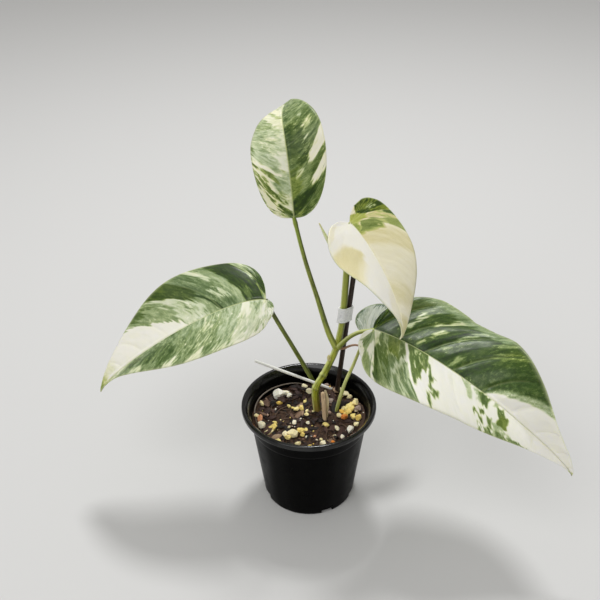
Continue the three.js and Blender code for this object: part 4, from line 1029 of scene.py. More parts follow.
def streaked_paint(name, dark, light, roughness, base=None, top=None, lit_and_shaded_sides=True):
    """Skin of a green stalk, with fine lengthwise streaks, a painted shade down one side and a painted
    highlight down the other.
    """
    paint = Paint(name, roughness)
    streaks = paint.noise(paint.place("skin", (1.5, 1.5, 0.05)), 1.2, 4, 0.6)
    patches = paint.noise(paint.place("skin", (0.3, 0.3, 0.12), (3, 1, 0)))
    level = streaks * 0.7 + patches * 0.45
    colour = paint.mix(paint.spread(level, 0.42, 0.7), dark, light)
    uneven = paint.field("share") + (streaks - 0.5) * 0.06
    if base:
        tone, place = base
        colour = paint.mix(paint.spread(uneven, place + 0.08, place - 0.04), colour, tone)
    if top:
        tone, place = top
        colour = paint.mix(paint.spread(uneven, place - 0.05, place + 0.05), colour, tone)
    colour = paint.mix(paint.field("rings") * 0.75, colour, (96, 88, 40))
    # Painted light: one side of the stalk is darkened as painted shade and the other paled as a painted
    # highlight
    if lit_and_shaded_sides:
        side_light = paint.axis(paint.place("skin"), "X") + (streaks - 0.5) * 0.8
        colour = paint.mix(paint.spread(side_light, -0.4, -1.4) * 0.6, colour, darker(dark))
        colour = paint.mix(paint.spread(side_light, 1.1, 1.7) * 0.7, colour, (218, 224, 152))
    specks = paint.spread(paint.cells(paint.place("skin", (1, 1, 0.5)), 1.1), 0.1, 0.2, 1, 0)
    colour = paint.mix(specks * 0.35, colour, (206, 208, 150))
    paint.translucent(0.2, (0.8, 1.2, 0.4))
    rough = paint.spread(streaks, 0.3, 0.7, roughness - 0.07, roughness + 0.1)
    return paint.done(colour, rough, paint.bump(level, 0.12))


def stem_shape(arc, share, angle):
    swell = sum(NODE_RISE * hump(share, node, 0.011) - 0.16 * hump(share, node + 0.001, 0.0028)
                for node in STEM_NODES)
    return swell + 0.12 * np.sin(3 * angle + share * 6) + 0.05 * noise(arc * 0.5, angle * 1.2, 5)


def petiole_shape(arc, share, angle):
    groove = 0.22 * hump(angle, np.pi / 2, 0.45)
    joint = 0.25 * hump(share, 0.965, 0.02)
    return 0.07 * np.sin(2 * angle + 1) - groove + joint + 0.03 * noise(arc * 0.3, angle, 6)


def bud_shape(arc, share, angle):
    """Dry scales, rolled to a point."""
    return 0.18 * np.abs(np.sin(1.5 * angle + 5 * share)) + 0.08 * noise(arc * 2, angle * 2, 8)


def rolled_shape(arc, share, angle):
    """A rolled blade, whose free edge winds round it."""
    turn = np.mod(angle - 2.2 * share * np.pi, 2 * np.pi) / (2 * np.pi)
    return 0.32 * (turn - 0.5) * (1 - share) + 0.03 * noise(arc, angle * 2, 9)


def rod_piece(name, node, slot, material, path, diameters, **form):
    make_piece(name, node, slot, material, *tube(path, diameters, **form))


STALK_COLOURS = {
    "petiole_top": ((66, 76, 18), (150, 162, 62), ((164, 172, 76), 0.16), ((128, 146, 48), 0.8)),
    "petiole_left": ((82, 94, 28), (152, 164, 78), ((164, 176, 88), 0.14), ((90, 94, 34), 0.86)),
    "petiole_cream": ((150, 160, 90), (206, 208, 150), None, ((214, 214, 160), 0.7)),
    "petiole_right": ((88, 100, 30), (152, 162, 72), ((164, 174, 84), 0.1), ((124, 144, 46), 0.85)),
    "petiole_small": ((150, 158, 74), (206, 208, 134), ((156, 164, 76), 0.28), ((134, 140, 56), 0.8)),
}

stem_paint = streaked_paint("stem_skin", (88, 98, 10), (184, 190, 60), 0.3, ((138, 114, 58), 0.17),
                            ((152, 160, 60), 0.62))
rod_piece("stem", "main_stem", "green_stem", stem_paint, STEM_PATH, STEM_DIAMETERS, sides=32, spacing=0.4,
          shape=stem_shape, rings=STEM_NODES)
for petiole, (path, diameters) in PETIOLES.items():
    dark, light, low_end, high_end = STALK_COLOURS[petiole]
    skin = streaked_paint(petiole + "_skin", dark, light, 0.4, low_end, high_end)
    rod_piece(petiole + "_stalk", petiole, "green_stem", skin, path, diameters, sides=24, spacing=0.6,
              shape=petiole_shape)
bud_paint = streaked_paint("bud_skin", (176, 164, 92), (232, 224, 168), 0.6, lit_and_shaded_sides=False)
rod_piece("bud", "main_stem", "green_stem", bud_paint, BUD_PATH, BUD_DIAMETERS, sides=20, spacing=0.25,
          shape=bud_shape)
spike_paint = streaked_paint("new_leaf_skin", (206, 218, 136), (244, 244, 206), 0.4, None,
                             ((214, 206, 160), 0.95), lit_and_shaded_sides=False)
rod_piece("rolled_leaf", "new_leaf_spike", "new_leaf", spike_paint, SPIKE_PATH, SPIKE_DIAMETERS, sides=40,
          spacing=0.4, shape=rolled_shape)

# Aerial root, stake and white stick


def root_shape(arc, share, angle):
    return 0.12 * noise(arc * 1.5, angle * 1.5, 11, 2)


def root_paint(name, dark, light, tip):
    paint = Paint(name, 0.75)
    grain = paint.noise(paint.place("skin", (1, 1, 0.6)), 2, 4, 0.65)
    colour = paint.mix(paint.spread(grain, 0.35, 0.65), dark, light)
    colour = paint.mix(paint.spread(paint.field("share"), 0.85, 0.97), colour, tip)
    return paint.done(colour, normal=paint.bump(grain, 0.15))


def stake_shape(arc, share, angle):
    joint = STAKE_JOINTS["rise"] * hump(np.mod(arc, STAKE_JOINTS["apart"]), STAKE_JOINTS["first"],
                                        STAKE_JOINTS["reach"])
    return joint + 0.05 * noise(arc * 0.15, angle * 3, 12) + 0.04 * np.sin(5 * angle)


def stake_paint():
    paint = Paint("stake_skin", 0.55)
    grain = paint.noise(paint.place("skin", (2.5, 2.5, 0.06)), 1.5, 5, 0.6)
    wear = paint.noise(paint.place("skin", (0.4, 0.4, 0.3)), 1, 3)
    colour = paint.mix(paint.spread(grain, 0.35, 0.7), (24, 14, 12), (58, 40, 32))
    colour = paint.mix(paint.spread(wear, 0.6, 0.72, 0, 0.5), colour, (96, 74, 58))
    return paint.done(colour, paint.spread(grain, 0.3, 0.7, 0.4, 0.65), paint.bump(grain, 0.12))


def stick_shape(arc, share, angle):
    return 0.03 * np.sin(2 * angle) + 0.02 * noise(arc * 0.2, angle, 14)


def stick_paint():
    """White plastic, with soil on its lower end."""
    paint = Paint("white_stick_plastic", 0.4)
    smudge = paint.noise(paint.place("skin", (0.5, 0.5, 0.15)), 1, 4, 0.6)
    colour = paint.mix(paint.spread(smudge, 0.4, 0.7), (255, 255, 253), (244, 243, 238))
    colour = paint.mix(paint.spread(paint.field("share"), 0.1, 0) * 0.7, colour, (128, 104, 84))
    return paint.done(colour, paint.spread(smudge, 0.3, 0.7, 0.32, 0.5), paint.bump(smudge, 0.04))


rod_piece("air_root", "aerial_root", "aerial_root",
          root_paint("air_root_skin", (124, 92, 70), (190, 152, 120), (206, 176, 136)),
          AERIAL_ROOT_PATH, AERIAL_ROOT_DIAMETERS, sides=18, spacing=0.4, shape=root_shape)
rod_piece("support_stake", "stake", "stake", stake_paint(), STAKE_PATH, [STAKE_DIAMETER - 0.1] * 2, sides=28,
          spacing=0.8, shape=stake_shape, round_end=(0.15, 0.15))

# Tie: a frosted band drawn round stem and stake. Its edge flares out by so much, at so far from it.

TIE_FLARE = [(0.28, 0), (0.18, 0.5), (0.02, 1.4), (0, 3)]
TIE_PINCH = -0.05


def place_on(path, height):
    path = np.array(path, float)
    return np.array([np.interp(height, path[:, 2], path[:, i]) for i in (0, 1)])


def arc_points(centre, radius, start, end, count=40):
    angle = np.linspace(start, end, count)
    return centre + radius * np.stack([np.cos(angle), np.sin(angle)], 1)


def band_outline(first, first_radius, second, second_radius):
    """A belt round two circles."""
    away = second - first
    angle = math.atan2(away[1], away[0])
    turn = math.acos((first_radius - second_radius) / np.linalg.norm(away))
    return np.vstack([arc_points(second, second_radius, angle - turn, angle + turn),
                      arc_points(first, first_radius, angle + turn, angle - turn + 2 * math.pi)])


def tie_rings():
    """Outlines of the band up its outside and back down its inside."""
    stem_at = place_on(STEM_PATH, TIE["middle"])
    stake_at = place_on(STAKE_PATH, TIE["middle"])
    foot, head = STAKE_PATH
    lean = (head[0] - foot[0]) / (head[2] - foot[2])
    half = TIE["height"] / 2
    heights = np.linspace(-half, half, 33)
    low = [(inset - half, out) for out, inset in TIE_FLARE]
    section = low + [(0, TIE_PINCH)] + [(-z, out) for z, out in low[::-1]]
    flare = np.interp(heights, *zip(*section))
    outer = [(TIE["thickness"] + out, z) for out, z in zip(flare, heights)]
    rings = []
    for out, z in outer + list(zip(flare, heights))[::-1]:
        gap = TIE["slack"] + out
        ring = band_outline(stem_at, TIE["stem_radius"] + gap, stake_at, STAKE_DIAMETER / 2 + gap)
        sag = TIE["tilt"] * (ring[:, 1] - (stem_at[1] + stake_at[1]) / 2)
        rings.append(np.column_stack([ring[:, 0] + lean * z, ring[:, 1], TIE["middle"] + z - sag]))
    return np.array(rings)


def tie_paint():
    paint = Paint("tie_plastic", 0.38)
    cloud = paint.noise(paint.place(), 0.5, 4, 0.6)
    lines = paint.noise(paint.place(scale=(1, 1, 0.08)), 2.2)
    colour = paint.mix(paint.spread(cloud, 0.35, 0.65), (220, 222, 224), (246, 247, 247))
    paint.translucent(0.6, (2, 2, 2))
    return paint.done(colour, paint.spread(cloud, 0.3, 0.7, 0.3, 0.5), paint.bump(lines, 0.06))


def tie_piece():
    rings = tie_rings()
    grid = np.arange(rings[..., 0].size).reshape(rings.shape[:2])
    faces = quads(closed_round(np.vstack([grid, grid[:1]])), flip=True)
    make_piece("tie_band", "stake_tie", "tie", tie_paint(), rings.reshape(-1, 3), faces)


tie_piece()
rod_piece("plastic_stick", "white_stick", "white_plastic", stick_paint(), STICK_PATH, [STICK_DIAMETER] * 2,
          sides=24, spacing=0.8, shape=stick_shape, round_end=(0.1, 0.2))

# Dry stub, and the papery sheath beside it

SHEATH_LINES = 22
SHEATH_ROWS = 60


def stub_shape(arc, share, angle):
    ribs = 0.16 * np.sin(9 * angle + 2 * noise(arc * 0.1, angle, 15)) + 0.08 * np.sin(17 * angle)
    worn = 0.5 * smooth(0.93, 1, share) * np.abs(np.sin(2.5 * angle))
    return ribs + 0.2 * noise(arc * 0.25, angle * 1.5, 16) - worn


def dry_paint(name, dark, light, stain):
    paint = Paint(name, 0.85)
    fibre = paint.noise(paint.place("skin", (2, 2, 0.12)), 1.4, 5, 0.65)
    patches = paint.noise(paint.place("skin", (0.3, 0.3, 0.1)), 1, 3)
    colour = paint.mix(paint.spread(fibre, 0.3, 0.7), dark, light)
    colour = paint.mix(paint.spread(patches, 0.5, 0.75, 0, 0.6), colour, stain)
    return paint.done(colour, normal=paint.bump(fibre, 0.25))


def sheath():
    """An open roll of thin sheet: an outer and an inner layer of lines up the sheath."""
    count = SHEATH_LINES
    line, arc = curve_points(SHEATH_PATH, count=SHEATH_ROWS)
    share = arc / arc[-1]
    radius = along_rod(share, SHEATH_DIAMETERS) / 2
    opening = 1.5 + 0.4 * share
    rows = []
    for layer in (SHEATH_THICKNESS / 2, -SHEATH_THICKNESS / 2):
        for t in np.linspace(0, 1, count):
            angle = -math.pi / 2 - 0.5 + opening + (2 * math.pi - 2 * opening) * t + 0.7 * share
            reach = radius + layer + 0.12 * np.sin(14 * share + 5 * t)
            rows.append(line + vectors(reach * np.cos(angle), reach * np.sin(angle), 0))
    outer, inner = np.arange(2 * count * len(line)).reshape(2, count, len(line))
    faces = quads(np.vstack([outer, inner[::-1], outer[:1]]))
    for end in (0, -1):
        faces += quads(np.stack([outer[:, end], inner[:, end]]), flip=end == 0)
    layer, strip = np.divmod(np.arange(2 * count), count)
    skin = vectors(strip[:, None] * 0.3, layer[:, None], arc).reshape(-1, 3)
    return np.vstack(rows), faces, {"skin": skin, "share": np.tile(share, 2 * count)}


rod_piece("stub", "dry_stub", "dry_stub",
          dry_paint("stub_skin", (200, 162, 120), (250, 230, 194), (120, 97, 72)),
          STUB_PATH, STUB_DIAMETERS, sides=48, spacing=0.5, shape=stub_shape)
make_piece("dry_sheath", "dry_stub", "dry_stub",
           dry_paint("sheath_skin", (206, 184, 136), (244, 234, 200), (123, 110, 81)), *sheath())

# Pot: turned from its section, with slots cut in its foot

POT_SEGMENTS = 192


def wall_radius(height):
    return BASE_RADIUS + (NECK_RADIUS - BASE_RADIUS) * height / NECK_HEIGHT


def rounded(points, times=2):
    """An open line with its corners cut again and again."""
    for _ in range(times):
        low = points[:-1] * 0.75 + points[1:] * 0.25
        high = points[:-1] * 0.25 + points[1:] * 0.75
        points = np.vstack([points[:1], np.stack([low, high], 1).reshape(-1, 2), points[-1:]])
    return points


def pot_section():
    """Half the pot's section: up its outside, over the rim and down its inside, as radius and height."""
    band, inner = wall_radius(BAND_HEIGHT), BASE_RADIUS - POT_WALL
    wall = [(wall_radius(z), z) for z in (5, 30, BAND_HEIGHT - 1, BAND_HEIGHT)]
    steps = [
        (BASE_RADIUS, 0, [(-BASE_RADIUS, 2.2), (-8, 2.2), (-7, 0.6), (-5, 0), (-0.9, 0), (0, 1)]),
        (0, 0, wall),
        (band + BAND_STEP, BAND_HEIGHT, [(0, 0.6)]),
        (NECK_RADIUS + BAND_STEP, NECK_HEIGHT, [(0, -0.6), (0.6, 0.5), (1.9, 2.4)]),
        (RIM_RADIUS, POT_HEIGHT, [(-1.5, -4.1), (-0.5, -4), (0, -3.2), (0, -0.9), (-0.6, 0), (-2.4, 0),
                                  (-3, -0.6), (-4.6, -2.2)]),
        (NECK_RADIUS - POT_WALL, NECK_HEIGHT, [(POT_WALL - 0.2, 2.6), (0, 0), (-0.2, -1)]),
        (inner, FLOOR_TOP, [(0, 0.4), (-1, 0), (-inner, 0)]),
    ]
    return np.array([(radius + out, height + up) for radius, height, moves in steps for out, up in moves])


def facets(height, angle):
    """The wall's faint flats."""
    on_wall = smooth(2, 6, height) * smooth(BAND_HEIGHT, BAND_HEIGHT - 3, height)
    return on_wall * FACETS["depth"] * np.cos(FACETS["count"] * angle)


def turned(section, segments):
    """A solid turned about the upright axis. The section starts and ends on the axis."""
    angle = full_turn(segments)
    radius, height = (np.repeat(column[1:-1, None], segments, 1) for column in section.T)
    radius = radius + facets(height, angle)
    points = vectors(radius * np.cos(angle), radius * np.sin(angle), height).reshape(-1, 3)
    count = len(points)
    grid = closed_round(np.arange(count).reshape(-1, segments))
    faces = quads(grid, flip=True) + fan(count, grid[0], flip=True) + fan(count + 1, grid[-1])
    return np.vstack([points, [(0, 0, section[0][1]), (0, 0, section[-1][1])]]), faces


def pot_paint():
    paint = Paint("black_plastic", 0.34)
    where = paint.place()
    cloud = paint.noise(where, 0.12, 4, 0.55)
    scratches = paint.noise(paint.place(scale=(0.6, 0.6, 0.05)), 2, 4, 0.7)
    dust = paint.noise(where, 1.3, 5, 0.7)
    colour = paint.mix(paint.spread(cloud, 0.35, 0.7), (1, 1, 1), (4, 4, 4))
    colour = paint.mix(paint.spread(dust, 0.68, 0.82, 0, 0.3), colour, (84, 78, 72))
    polish = paint.spread(cloud, 0.3, 0.7, 0.7, 1)
    height = paint.axis(where, "Z")
    paint.set("Coat Weight", paint.spread(height, POT_HEIGHT - 5, POT_HEIGHT - 3.6, 0, polish))
    paint.set("Coat Roughness", 0.16)
    paint.set("Specular IOR Level", 0.04)
    rough = paint.spread(cloud, 0.3, 0.7, 0.26, 0.38) + paint.spread(dust, 0.5, 0.8, 0, 0.2)
    return paint.done(colour, rough, paint.bump(scratches, 0.03))


def slot_cutter(turn):
    at = (BASE_RADIUS * MM * math.cos(turn), BASE_RADIUS * MM * math.sin(turn), 0)
    bpy.ops.mesh.primitive_cube_add(size=1, location=at, rotation=(0, 0, turn))
    cutter = bpy.context.object
    cutter.scale = (SLOT["depth"] * MM, SLOT["width"] * MM, 2 * SLOT["height"] * MM)
    bevel = cutter.modifiers.new("bevel", "BEVEL")
    bevel.width = SLOT["rounding"] * MM
    bevel.segments = 3
    return cutter


def pot_piece():
    points, faces = turned(rounded(pot_section()), POT_SEGMENTS)
    piece = make_piece("nursery_pot", "pot", "pot_plastic", pot_paint(), points, faces)
    cutters = [slot_cutter((i + 0.5) / FOOT_SLOTS * 2 * math.pi) for i in range(FOOT_SLOTS)]
    for cutter in cutters:
        cut = piece.modifiers.new("slot", "BOOLEAN")
        cut.operation = "DIFFERENCE"
        cut.solver = "EXACT"
        cut.object = cutter
    shaped = piece.evaluated_get(bpy.context.evaluated_depsgraph_get())
    plain_mesh, piece.data = piece.data, bpy.data.meshes.new_from_object(shaped)
    piece.modifiers.clear()
    bpy.data.meshes.remove(plain_mesh)
    for cutter in cutters:
        bpy.data.objects.remove(cutter)
    piece.data.shade_smooth()
    piece.data.set_sharp_from_angle(angle=math.radians(40))


pot_piece()

# Potting mix: a crumbly bed, bark chips, perlite, fibres and a loose root

draw = np.random.default_rng(7)


def soil_height(x, y):
    waves = np.sin(x * 0.31 + 1) * np.cos(y * 0.27) + 0.6 * np.sin(x * 0.13 - y * 0.41)
    from_heap = np.hypot(x - SOIL_HEAP["at"][0], y - SOIL_HEAP["at"][1])
    away = np.hypot(x, y)
    bank = SOIL_BANK * smooth(31, 43, away) * smooth(0.75, 0.15, y / np.maximum(away, 1))
    heap = SOIL_HEAP["height"] * hump(from_heap, 0, SOIL_HEAP["spread"])
    return SOIL_TOP + SOIL_RELIEF * waves + heap + bank


def soil_edge(height):
    """The mix's radius inside the pot at a height."""
    return wall_radius(height) - POT_WALL - SOIL_GAP


def mix_paint():
    paint = Paint("bark_mix", 0.85)
    where = paint.place()
    crumbs = paint.cells(where, 0.9)
    grain = paint.noise(where, 1.6, 5, 0.65)
    patches = paint.noise(where, 0.16, 3)
    colour = paint.mix(paint.spread(grain, 0.35, 0.68), (14, 8, 5), (104, 72, 48))
    colour = paint.mix(paint.spread(patches, 0.4, 0.65, 0, 0.5), colour, (36, 21, 14))
    return paint.done(colour, paint.spread(grain, 0.3, 0.7, 0.6, 0.95), paint.bump(grain + crumbs * 0.6, 0.5))


BED = {"segments": 200, "rings": 64, "centre": 0.0004}


def soil_bed():
    """The mix's body: rings up its side, then rings inwards over its crumbly top."""
    segments = BED["segments"]
    angle = full_turn(segments)
    edge = soil_edge(SOIL_TOP)
    radius = edge * np.sqrt(np.linspace(BED["centre"], 1, BED["rings"]))[::-1, None]
    x, y = radius * np.cos(angle), radius * np.sin(angle)
    crumbs = 1.1 * noise(x * 0.35, y * 0.35, 21, 4) + 0.9 * np.abs(noise(x * 0.8, y * 0.8, 22, 2))
    height = soil_height(x, y) - 0.5 + crumbs
    wider = soil_edge(height) / edge
    bottom = FLOOR_TOP + 0.1
    low = np.array([bottom, 20, 40, SOIL_TOP - 4])[:, None]
    points = np.vstack([vectors(soil_edge(low) * np.cos(angle), soil_edge(low) * np.sin(angle), low),
                        vectors(x * wider, y * wider, height)]).reshape(-1, 3)
    count = len(points)
    grid = closed_round(np.arange(count).reshape(-1, segments))
    faces = quads(grid, flip=True) + fan(count, grid[0], flip=True) + fan(count + 1, grid[-1])
    points = np.vstack([points, [(0, 0, bottom), (0, 0, soil_height(0, 0))]])
    make_piece("mix_bed", "potting_mix", "potting_mix", mix_paint(), points, faces)


def ball(level):
    shape = bmesh.new()
    bmesh.ops.create_icosphere(shape, subdivisions=level, radius=1)
    points = np.array([v.co[:] for v in shape.verts])
    faces = [[v.index for v in face.verts] for face in shape.faces]
    shape.free()
    return points, faces


def turn_matrix(tilt):
    """A turn to any heading, with a tilt of up to so many radians."""
    heading, lean, roll = draw.uniform(0, 2 * math.pi), draw.uniform(-tilt, tilt), draw.uniform(-tilt, tilt)
    turn = Matrix.Rotation(heading, 3, "Z") @ Matrix.Rotation(lean, 3, "X") @ Matrix.Rotation(roll, 3, "Y")
    return np.array(turn)


def lump(level, size, at, tilt, cuts, rough, tone, lift, sunk=0.55, knobs=0):
    """A broken bit: a ball with knobs, cut by planes, stretched, turned and laid on the bed, partly
    sunk."""
    points, faces = ball(level)
    bulge = np.zeros(len(points))
    for _ in range(knobs):
        knob = np.exp((points @ unit(draw.normal(size=3)) - 1) / draw.uniform(0.05, 0.14))
        bulge = np.maximum(bulge, draw.uniform(0.15, 0.45) * knob)
    points = points * (1 + bulge - 0.2 * (knobs > 0))[:, None]
    points = points * (1 + rough * draw.uniform(-1, 1, len(points)))[:, None]
    for _ in range(cuts):
        face = unit(draw.normal(size=3))
        over = np.maximum(points @ face - draw.uniform(0.45, 0.8), 0)
        points = points - over[:, None] * face
    points = points * (np.array(size) / 2)
    points = points @ turn_matrix(tilt).T
    rest = soil_height(*at) + lift - points[:, 2].min() * (1 - sunk)
    fields = {"tone": np.full(len(points), tone), "skin": points + draw.uniform(0, 50, 3)}
    return points + (*at, rest), faces, fields


def inside_pot(x, y, size):
    limit = wall_radius(SOIL_TOP) - POT_WALL - size / 2 - 0.3
    shrink = min(1, limit / max(math.hypot(x, y), 1e-6))
    return x * shrink, y * shrink


def scattered(size):
    angle = draw.uniform(0, 2 * math.pi)
    away = (wall_radius(SOIL_TOP) - 2) * math.sqrt(draw.uniform(0, 1))
    return inside_pot(away * math.cos(angle), away * math.sin(angle), size)


# Pale bits seen in the mix: place, length before PALE_GROWTH, flatness, and a tone from white over
# cream and yellow to orange, pink and grey
PALE_BITS = [
    ((-23, 25), 10, 0.6, 0.02), ((-19, 28), 6.5, 0.85, 0.14), ((-14.5, 23.5), 5, 0.8, 0.05),
    ((-3, 35.5), 5.5, 0.7, 0.22), ((0, 28.5), 6.5, 0.65, 0.22), ((-3, 18), 3.4, 0.7, 0.4),
    ((-21.8, 16), 5.2, 0.7, 0.55), ((-35.5, 13), 4.4, 0.9, 0.3), ((-15, 12), 3.6, 0.7, 0.4),
    ((-12, 9), 2.8, 0.7, 0.45), ((-25, 8.7), 1.8, 0.8, 0.05), ((-9.3, 7), 4.4, 0.8, 0.36),
    ((-5.5, 8), 4.8, 0.8, 0.44), ((-1.3, 6), 3, 0.7, 0.3), ((-1.3, 1.5), 4, 0.7, 0.34),
    ((-6, -2), 1.8, 0.7, 0.1), ((3, 6.5), 2.2, 0.7, 0.3), ((-36, -5), 6, 0.7, 0.86),
    ((-39, -3), 3.4, 0.7, 0.3), ((-35, -13), 7.6, 0.65, 0.16), ((-29, -19), 6.4, 0.7, 0.3),
    ((-27, -14.5), 7, 0.7, 0.46), ((-25.5, -9.5), 5, 0.8, 0.42), ((-11, -8), 4.4, 0.7, 0.12),
    ((-1, -7.7), 3.2, 0.7, 0.12), ((-15, -12), 2.8, 0.7, 0.3), ((-12, -20), 8.4, 0.65, 0.26),
    ((-17.5, -21.5), 5, 0.6, 0.22), ((-15.5, -25), 5.4, 0.6, 0.4), ((-6, -17.5), 6.2, 0.8, 0.46),
    ((-2.7, -16), 4.4, 0.7, 0.42), ((-5, -21), 4, 0.8, 0.48), ((-2.3, -23.5), 2.2, 0.8, 0.12),
    ((4, -23), 2.6, 0.7, 0.88), ((5.5, -26), 2, 0.7, 0.2), ((8.5, -25), 2.4, 0.7, 0.3),
    ((12.3, -10.5), 5.8, 0.5, 0.42), ((21, -14.3), 4.4, 0.7, 0.2), ((18.7, -23), 2.8, 0.7, 0.24),
    ((30.3, -16), 6.8, 0.7, 0.05), ((35, -12.5), 4.6, 0.7, 0.28), ((26.3, -1.5), 6, 0.8, 0.78),
    ((22.8, -0.7), 4.2, 0.7, 0.3), ((25, 3.3), 4, 0.7, 0.62), ((26, 6.6), 5.2, 0.75, 0.36),
    ((30.5, 8), 6.4, 0.75, 0.4), ((30, 4.4), 5.6, 0.75, 0.46), ((35, 11.5), 5.8, 0.75, 0.34),
    ((35.7, 5), 5.2, 0.8, 0.2), ((33, 0), 4.8, 0.75, 0.42), ((36.8, -5), 5.6, 0.75, 0.52),
    ((38, 15.5), 4.2, 0.95, 0.26), ((32.4, 12), 4, 0.8, 0.38), ((41, 6), 6.4, 0.6, 0.97),
    ((25.5, 32.5), 5, 0.7, 0.3), ((30.7, 27.7), 7, 0.6, 0.24), ((33.5, 23.5), 4.6, 0.7, 0.28),
    ((28, 6), 5, 0.9, 0.4), ((32.5, 6.5), 4.6, 0.9, 0.44), ((27.5, 1.5), 4, 0.8, 0.5),
    ((17.3, 17.5), 5, 0.6, 0.98), ((15.8, 3.5), 3.2, 0.7, 0.96), ((27, 11), 2.2, 0.7, 0.3),
    ((14, 33), 4, 0.6, 0.97), ((-31, 2), 2.4, 0.7, 0.96), ((-8, -31), 5, 0.7, 0.3),
    ((10, -34), 6, 0.7, 0.2), ((-22, -31), 5.4, 0.7, 0.4), ((24, -28), 4.6, 0.7, 0.1),
    ((0, -36), 4.4, 0.7, 0.5), ((17, -31), 3.4, 0.7, 0.76),
]
PALE_GROWTH = 1.2
CRUMBS = 60

# Bark chips by size: how many, how fine their mesh is, their lengths, and how thick they are at
# most for their length
BARK = [(680, 1, (1.2, 4), 0.4), (120, 2, (5, 10), 0.28), (20, 2, (10, 15), 0.28)]
FIBRES = 34


def pale_paint():
    paint = Paint("perlite_bits", 0.8)
    where = paint.place("skin")
    grain = paint.noise(where, 2.2, 4, 0.6)
    tone = paint.field("tone") + (grain - 0.5) * 0.12
    colour = paint.ramp(tone, [(0.02, (254, 250, 236)), (0.22, (252, 240, 200)), (0.42, (250, 228, 140)),
                               (0.6, (242, 200, 90)), (0.76, (240, 142, 44)), (0.88, (236, 172, 132)),
                               (0.98, (158, 144, 136))])
    colour = paint.mix(paint.spread(grain, 0.6, 0.74, 0, 0.35), colour, (96, 70, 48))
    paint.translucent(0.15, (1, 0.8, 0.5))
    return paint.done(colour, normal=paint.bump(grain + paint.cells(where, 1.8) * 0.8, 0.25))


def bark_paint():
    paint = Paint("bark_chips", 0.75)
    grain = paint.noise(paint.place("skin", (0.4, 1.6, 1.6)), 1.6, 5, 0.65)
    fine = paint.noise(paint.place("skin"), 4, 3)
    colour = paint.ramp(paint.field("tone") + (grain - 0.5) * 0.5,
                        [(0, (14, 7, 5)), (0.3, (40, 22, 19)), (0.55, (80, 54, 46)), (0.78, (134, 106, 84)),
                         (1, (190, 164, 132))])
    rough = paint.spread(grain, 0.3, 0.7, 0.55, 0.85)
    return paint.done(colour, rough, paint.bump(grain + fine * 0.3, 0.35))


def bark_bits():
    chips = []
    for count, level, lengths, thickest in BARK:
        for _ in range(count):
            length = draw.uniform(*lengths)
            size = (length, length * draw.uniform(0.35, 0.75), length * draw.uniform(0.16, thickest))
            tone = draw.uniform(0.5, 0.9) if len(chips) % 5 == 0 else draw.uniform(0, 0.5)
            chips.append(lump(level, size, scattered(length), tilt=0.5, cuts=8, rough=0.07, tone=tone,
                              lift=draw.uniform(0, 0.9)))
    return joined(chips)


def pale_bits():
    bits = []
    for at, size, flatness, tone in PALE_BITS:
        size *= PALE_GROWTH
        shape = (size, size * draw.uniform(0.7, 0.9), size * flatness)
        bits.append(lump(3, shape, inside_pot(*at, size), tilt=0.4, cuts=7, rough=0.04, tone=tone, lift=1,
                         sunk=0.35, knobs=9))
    for _ in range(CRUMBS):
        size = draw.uniform(0.7, 1.8)
        shape = (size, size * 0.8, size * 0.7)
        bits.append(lump(2, shape, scattered(size), tilt=0.5, cuts=6, rough=0.08,
                         tone=draw.uniform(0, 0.6), lift=1.2, sunk=0.4, knobs=4))
    return joined(bits)


def fibre(length, diameter):
    """A fibre that wanders over the bed in four steps, with both ends in it."""
    x, y = scattered(4)
    heading = draw.uniform(0, 2 * math.pi)
    path = []
    for step in range(5):
        lift = soil_height(x, y) + draw.uniform(0.5, 1.8) - (1.5 if step in (0, 4) else 0)
        path.append((x, y, lift))
        x, y = inside_pot(x + length / 4 * math.cos(heading), y + length / 4 * math.sin(heading), 3)
        heading += draw.uniform(-0.7, 0.7)
    return tube(path, [diameter * 0.7, diameter, diameter * 0.6], sides=8, spacing=0.7)


def mix_piece(name, material, form, flat=False):
    make_piece(name, "potting_mix", "potting_mix", material, *form, flat=flat)


soil_bed()
mix_piece("mix_bark", bark_paint(), bark_bits(), flat=True)
mix_piece("mix_perlite", pale_paint(), pale_bits(), flat=True)
mix_piece("mix_fibres", root_paint("fibre_skin", (54, 36, 28), (128, 102, 82), (96, 74, 58)),
          joined([fibre(draw.uniform(8, 24), draw.uniform(0.4, 0.9)) for _ in range(FIBRES)]))
mix_piece("loose_root", root_paint("loose_root_skin", (74, 64, 56), (148, 136, 124), (92, 80, 70)),
          tube(LOOSE_ROOT_PATH, LOOSE_ROOT_DIAMETERS, sides=16, spacing=0.5, shape=root_shape))

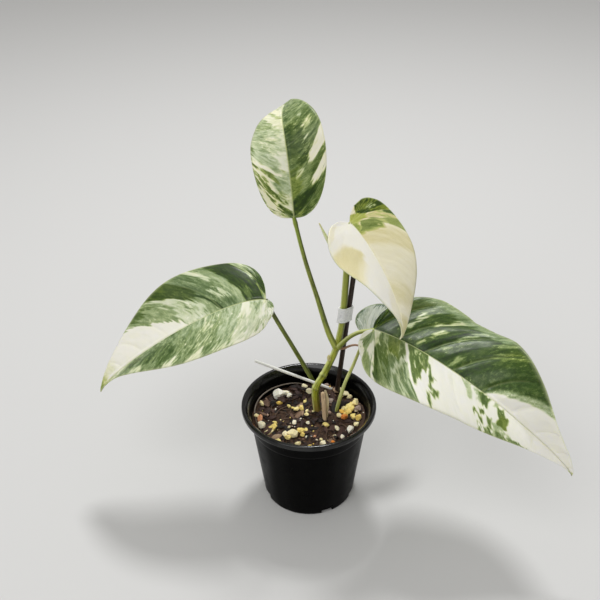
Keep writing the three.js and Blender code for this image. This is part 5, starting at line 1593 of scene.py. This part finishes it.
# Studio: distances in metres here, and the camera's place in millimetres

CAMERA_AT = (-5.7, -494.2, 478.6)
CAMERA_DOWN = 31.96
CAMERA_ROLL = -0.61
FOCAL_PIXELS = 850
FRAME_PIXELS = 600
SENSOR = 36
FLOOR_REACH = 6
LIGHT_TARGET = Vector((0, 0, 0.08))
SKY = (1, 0.985, 0.96, 1)
SKY_STRENGTH = 0.48


def placed(name, data):
    thing = bpy.data.objects.new(name, data)
    bpy.context.scene.collection.objects.link(thing)
    return thing


def area_light(name, at, size, power):
    data = bpy.data.lights.new(name, "AREA")
    data.shape = "DISK"
    data.size = size
    data.energy = power
    light = placed(name, data)
    light.location = at
    light.rotation_euler = (LIGHT_TARGET - Vector(at)).to_track_quat("-Z", "Y").to_euler()


camera_data = bpy.data.cameras.new("camera")
camera_data.sensor_width = SENSOR
camera_data.lens = FOCAL_PIXELS / FRAME_PIXELS * SENSOR
camera = placed("camera", camera_data)
camera.location = [c * MM for c in CAMERA_AT]
camera.rotation_mode = "QUATERNION"
down = Matrix.Rotation(math.radians(90 - CAMERA_DOWN), 4, "X")
roll = Matrix.Rotation(math.radians(CAMERA_ROLL), 4, "Z")
camera.rotation_quaternion = (down @ roll).to_quaternion()
bpy.context.scene.camera = camera

floor_mesh = bpy.data.meshes.new("floor")
corners = [(x * FLOOR_REACH, y * FLOOR_REACH, 0) for x, y in ((-1, -1), (1, -1), (1, 1), (-1, 1))]
floor_mesh.from_pydata(corners, [], [(0, 1, 2, 3)])
floor_mesh.materials.append(Paint("floor", 0.85).done(linear((205, 205, 204))))
placed("floor", floor_mesh)

area_light("key", (0.1, 0.7, 1.5), size=0.3, power=13)
area_light("fill", (-0.6, -1.1, 1.8), size=1.6, power=16)
world = bpy.data.worlds.new("studio")
world.use_nodes = True
background = world.node_tree.nodes["Background"]
background.inputs["Color"].default_value = SKY
background.inputs["Strength"].default_value = SKY_STRENGTH
bpy.context.scene.world = world
bpy.context.scene.view_settings.view_transform = "Standard"
